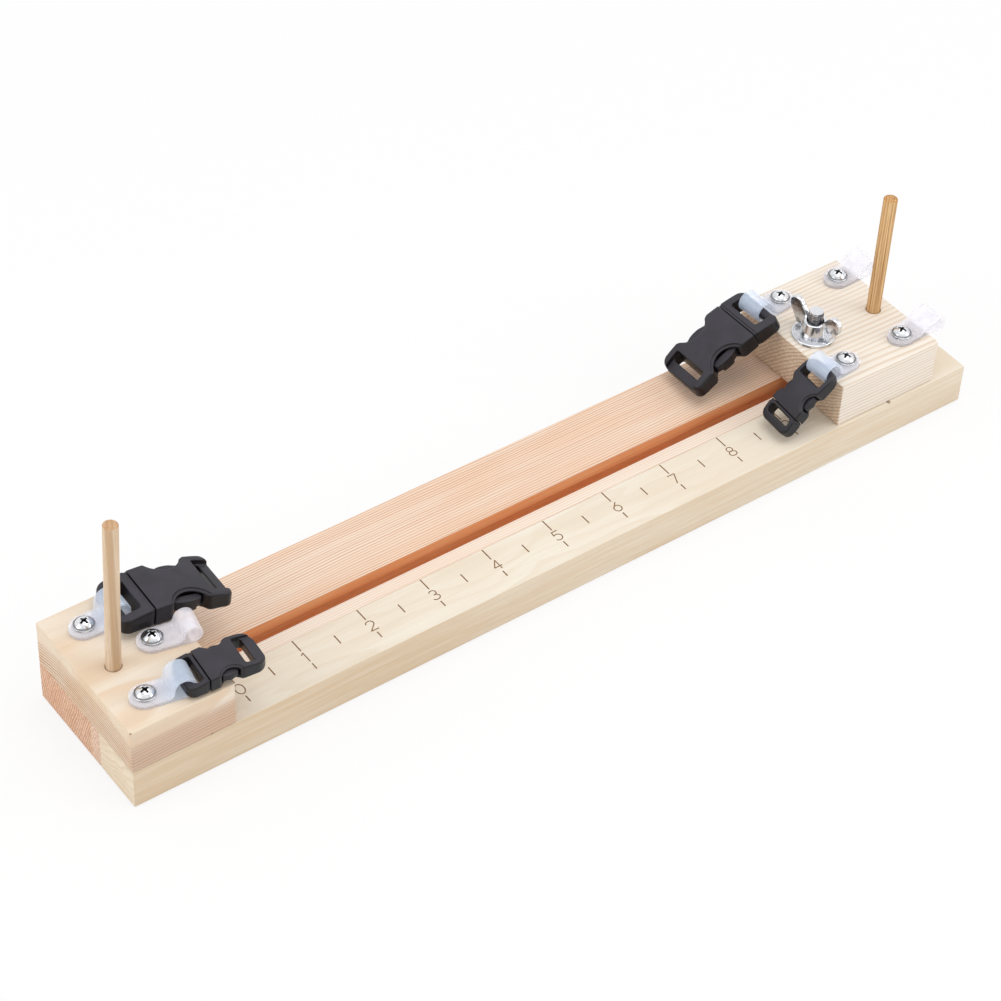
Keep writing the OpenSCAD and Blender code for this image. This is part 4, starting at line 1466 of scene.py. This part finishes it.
left_screws = clip_screws("left_clip_screws", LEFT_SCREWS)
right_screws = clip_screws("right_clip_screws", RIGHT_SCREWS)
bpy.data.objects.remove(screw)
finish_piece(left_screws, "base", "zinc", bright_zinc, "fixed_block_clip_screws")
finish_piece(right_screws, "sliding_block", "zinc", bright_zinc, "sliding_block_clip_screws")
print("screws:", len(left_screws.data.polygons), len(right_screws.data.polygons))

# %% [markdown]
# Two countersunk wood screws hold the fixed block from below. They show only under the
# base, as flat heads with a cross.


# %% The countersunk screws
def countersunk_shape(x, y, z):
    """The head, with its flat face at z = 0 and its shank upwards."""
    r = np.hypot(x, y)
    cone = meet((r + z - 4.0) * 0.7071, meet(-z, z - 2.4), 0.1)
    arm = [meet(np.abs(a) - 0.5, np.abs(b) - 2.3 + z) for a, b in ((x, y), (y, x))]
    cross = meet(join(arm[0], arm[1]), z - 1.6)
    return less(cone, cross, 0.1)


points, faces = grid_surface(countersunk_shape, (-4.1, -4.1, 0), (4.1, 4.1, 2.5), 0.2)
shank = threaded("wood_shank", 2.0, 1.8, 26.0, 0.4, (0, 0, 2.0))
flat_head = mesh_object("flat_head", points, faces.tolist())
wood_screw = joined([flat_head, shank], "one_wood_screw", 0)
wood_screw.data.shade_smooth()
block_screws = copies("block_wood_screws", wood_screw,
                      [(x, y, 30.0) for x, y in BLOCK_SCREWS], SUNK)
bpy.data.objects.remove(wood_screw)
finish_piece(block_screws, "base", "zinc", bright_zinc, "fixed_block_screws")
print("wood screws:", len(block_screws.data.polygons), "faces")


# %% [markdown]
# ## The clamp
# The bolt's hexagon head runs in the channel under the slot. Its thread comes up through
# the sliding block, the washer and the wing nut, and stands a few turns above the nut.

# %% The bolt, washer and wing nut
BOLT_FLAT, BOLT_HEAD_H = 5.0, 4.0
BOLT_R, BOLT_LENGTH = 3.0, 33.5
WASHER = 1.2


def bolt_head_shape(x, y, z):
    """A hexagon with the corners of its lower face turned off."""
    flats = [np.abs(x * math.cos(a) + y * math.sin(a)) - BOLT_FLAT
             for a in np.radians([90, 30, 150])]
    hexagon = np.maximum(np.maximum(flats[0], flats[1]), flats[2])
    chamfer = (np.hypot(x, y) - 5.55 - z * 1.2) * 0.64
    return meet(meet(hexagon, meet(-z, z - BOLT_HEAD_H), 0.15), chamfer, 0.1)


def bolt_groove_shade(x, y, z):
    """Painted shade: dark in the thread's groove, but not on the end of the bolt."""
    groove = (BOLT_R - 0.05 - np.hypot(x - BOLT_X, y)) / 0.35 * 0.8
    return (z > LIP_Z) * (z < LIP_Z + BOLT_LENGTH - 0.4) * groove


points, faces = grid_surface(bolt_head_shape, (-5.9, -5.9, 0), (5.9, 5.9, BOLT_HEAD_H), 0.2)
bolt_head = mesh_object("bolt_head", points + (BOLT_X, 0, LIP_Z - BOLT_HEAD_H),
                        faces.tolist())
bolt_thread = threaded("bolt_thread", BOLT_R, 1.0, BOLT_LENGTH, 0.5, (BOLT_X, 0, LIP_Z))
bolt = joined([bolt_head, bolt_thread], "bolt", 0)
# Stores painted shade for the thread's groove.
store(bolt, "painted_recess_shade", bolt_groove_shade)
finish_piece(sharpen(bolt, 40), "clamp_bolt", "zinc", bright_zinc, "clamp_bolt")


def washer_shape(x, y, z):
    r = np.hypot(x, y)
    return meet(meet(r - 8.0, BOLT_HOLE - r), meet(-z, z - WASHER), 0.25)


points, faces = grid_surface(washer_shape, (-8, -8, 0), (8, 8, WASHER), 0.22)
washer = mesh_object("washer", points + (BOLT_X, 0, BLOCK_TOP), faces.tolist())
finish_piece(washer, "sliding_block", "zinc", bright_zinc, "clamp_washer")


WING_TURN = 8
COLLAR_R, COLLAR_H = 5.0, 5.6
TIP_OUT, TIP_UP, TIP_R = 8.6, 8.7, 2.6
WING_HALF, WING_REACH = 1.1, 11.2


def wing_nut_shape(x, y, z):
    """The collar with a wing on each side, along y: a stem that ends in a round tip."""
    r = np.hypot(x, y)
    collar = meet(r - COLLAR_R + z * 0.14, meet(-z, z - COLLAR_H), 0.35)
    out, up = np.abs(y) - TIP_OUT, z - TIP_UP
    tip = np.hypot(out, up) - TIP_R
    stem = np.maximum(np.maximum(out * 0.62 - up * 0.38 - 2.5, -(z - 0.6)),
                      up * 0.62 - out * 0.78 - 2.55)
    stem = np.maximum(stem, np.maximum(2.6 - np.abs(y), z - 9.4))
    plate = meet(join(tip, stem, 0.6), np.abs(x) - WING_HALF, 0.55)
    body = meet(join(collar, plate, 0.9), meet(-z, r - WING_REACH), 0.1)
    return less(body, r - BOLT_R - 0.05, 0.2)


points, faces = grid_surface(wing_nut_shape, (-5.2, -11.4, 0), (5.2, 11.4, 11.5), 0.17)
turn = np.array(Matrix.Rotation(math.radians(WING_TURN), 3, "Z"))
wing_nut = mesh_object("wing_nut_casting", points @ turn.T + (BOLT_X, 0, BLOCK_TOP + WASHER),
                       faces.tolist())
finish_piece(wing_nut, "wing_nut", "zinc", bright_zinc, "wing_nut")
print("wing nut faces:", len(faces))

# %% [markdown]
# ## Floor and light
# The photograph has a pure white ground and soft light from everywhere, stronger from
# above, the front right and the left. The floor is pale, and four fifths of what the
# camera sees of it is plain white, so that only a faint shadow of the jig stays on it.

# %% Build the floor, the lamps and the sky
PLAIN_WHITE = 0.8
SKY = 0.72


def white_for_camera(tree):
    """1 for rays from the camera, off metal and through glass."""
    path = tree.nodes.new("ShaderNodeLightPath")
    rays = [Socket(tree, path.outputs[k]) for k in
            ("Is Camera Ray", "Is Glossy Ray", "Is Transmission Ray")]
    return rays[0].larger(rays[1]).larger(rays[2])


def make_floor(size=3.0, level=-0.0004):
    """A pale sheet just under the base, in metres."""
    mesh = bpy.data.meshes.new("floor")
    corners = [(-size, -size, level), (size, -size, level), (size, size, level),
               (-size, size, level)]
    mesh.from_pydata(corners, [], [(0, 1, 2, 3)])
    floor = linked("floor", mesh)
    material, tree, shader = new_material("pale_floor")
    use(shader, Base_Color=(0.9, 0.9, 0.9, 1), Roughness=0.9)
    glow = node(tree, "ShaderNodeEmission", {"Color": (1, 1, 1, 1), "Strength": 1.0})
    seen = white_for_camera(tree) * PLAIN_WHITE
    blend = node(tree, "ShaderNodeMixShader", {0: seen, 2: glow})
    tree.links.new(shader.outputs[0], blend.output.node.inputs[1])
    tree.links.new(blend.output, tree.nodes["Material Output"].inputs[0])
    mesh.materials.append(material)


def make_sky(strength):
    """Even light from all sides, behind which the camera sees plain white."""
    world = bpy.data.worlds.new("sky")
    bpy.context.scene.world = world
    world.use_nodes = True
    tree = world.node_tree
    light = tree.nodes["Background"]
    light.inputs["Color"].default_value = (1, 1, 1, 1)
    light.inputs["Strength"].default_value = strength
    seen = node(tree, "ShaderNodeBackground", {"Color": (1, 1, 1, 1), "Strength": 1.0})
    blend = node(tree, "ShaderNodeMixShader", {0: white_for_camera(tree), 2: seen})
    tree.links.new(light.outputs[0], blend.output.node.inputs[1])
    tree.links.new(blend.output, tree.nodes["World Output"].inputs[0])


def lamp(name, place, power, size, target=(0, 0, 0.02)):
    """A square lamp in metres and watts that looks at the jig."""
    data = bpy.data.lights.new(name, "AREA")
    data.energy, data.size = power, size
    made = linked(name, data)
    made.location = place
    made.rotation_mode = "QUATERNION"
    made.rotation_quaternion = (Vector(target) - Vector(place)).to_track_quat("-Z", "Y")


make_floor()
make_sky(SKY)
lamp("top_lamp", (0.15, -0.1, 1.3), 5.0, 0.9)
lamp("front_lamp", (1.1, -1.0, 0.8), 4.2, 0.7)
lamp("left_lamp", (-1.25, 0.25, 0.6), 3.8, 0.7)
bpy.context.scene.view_settings.view_transform = "Standard"
print("floor, sky and three lamps are in place")
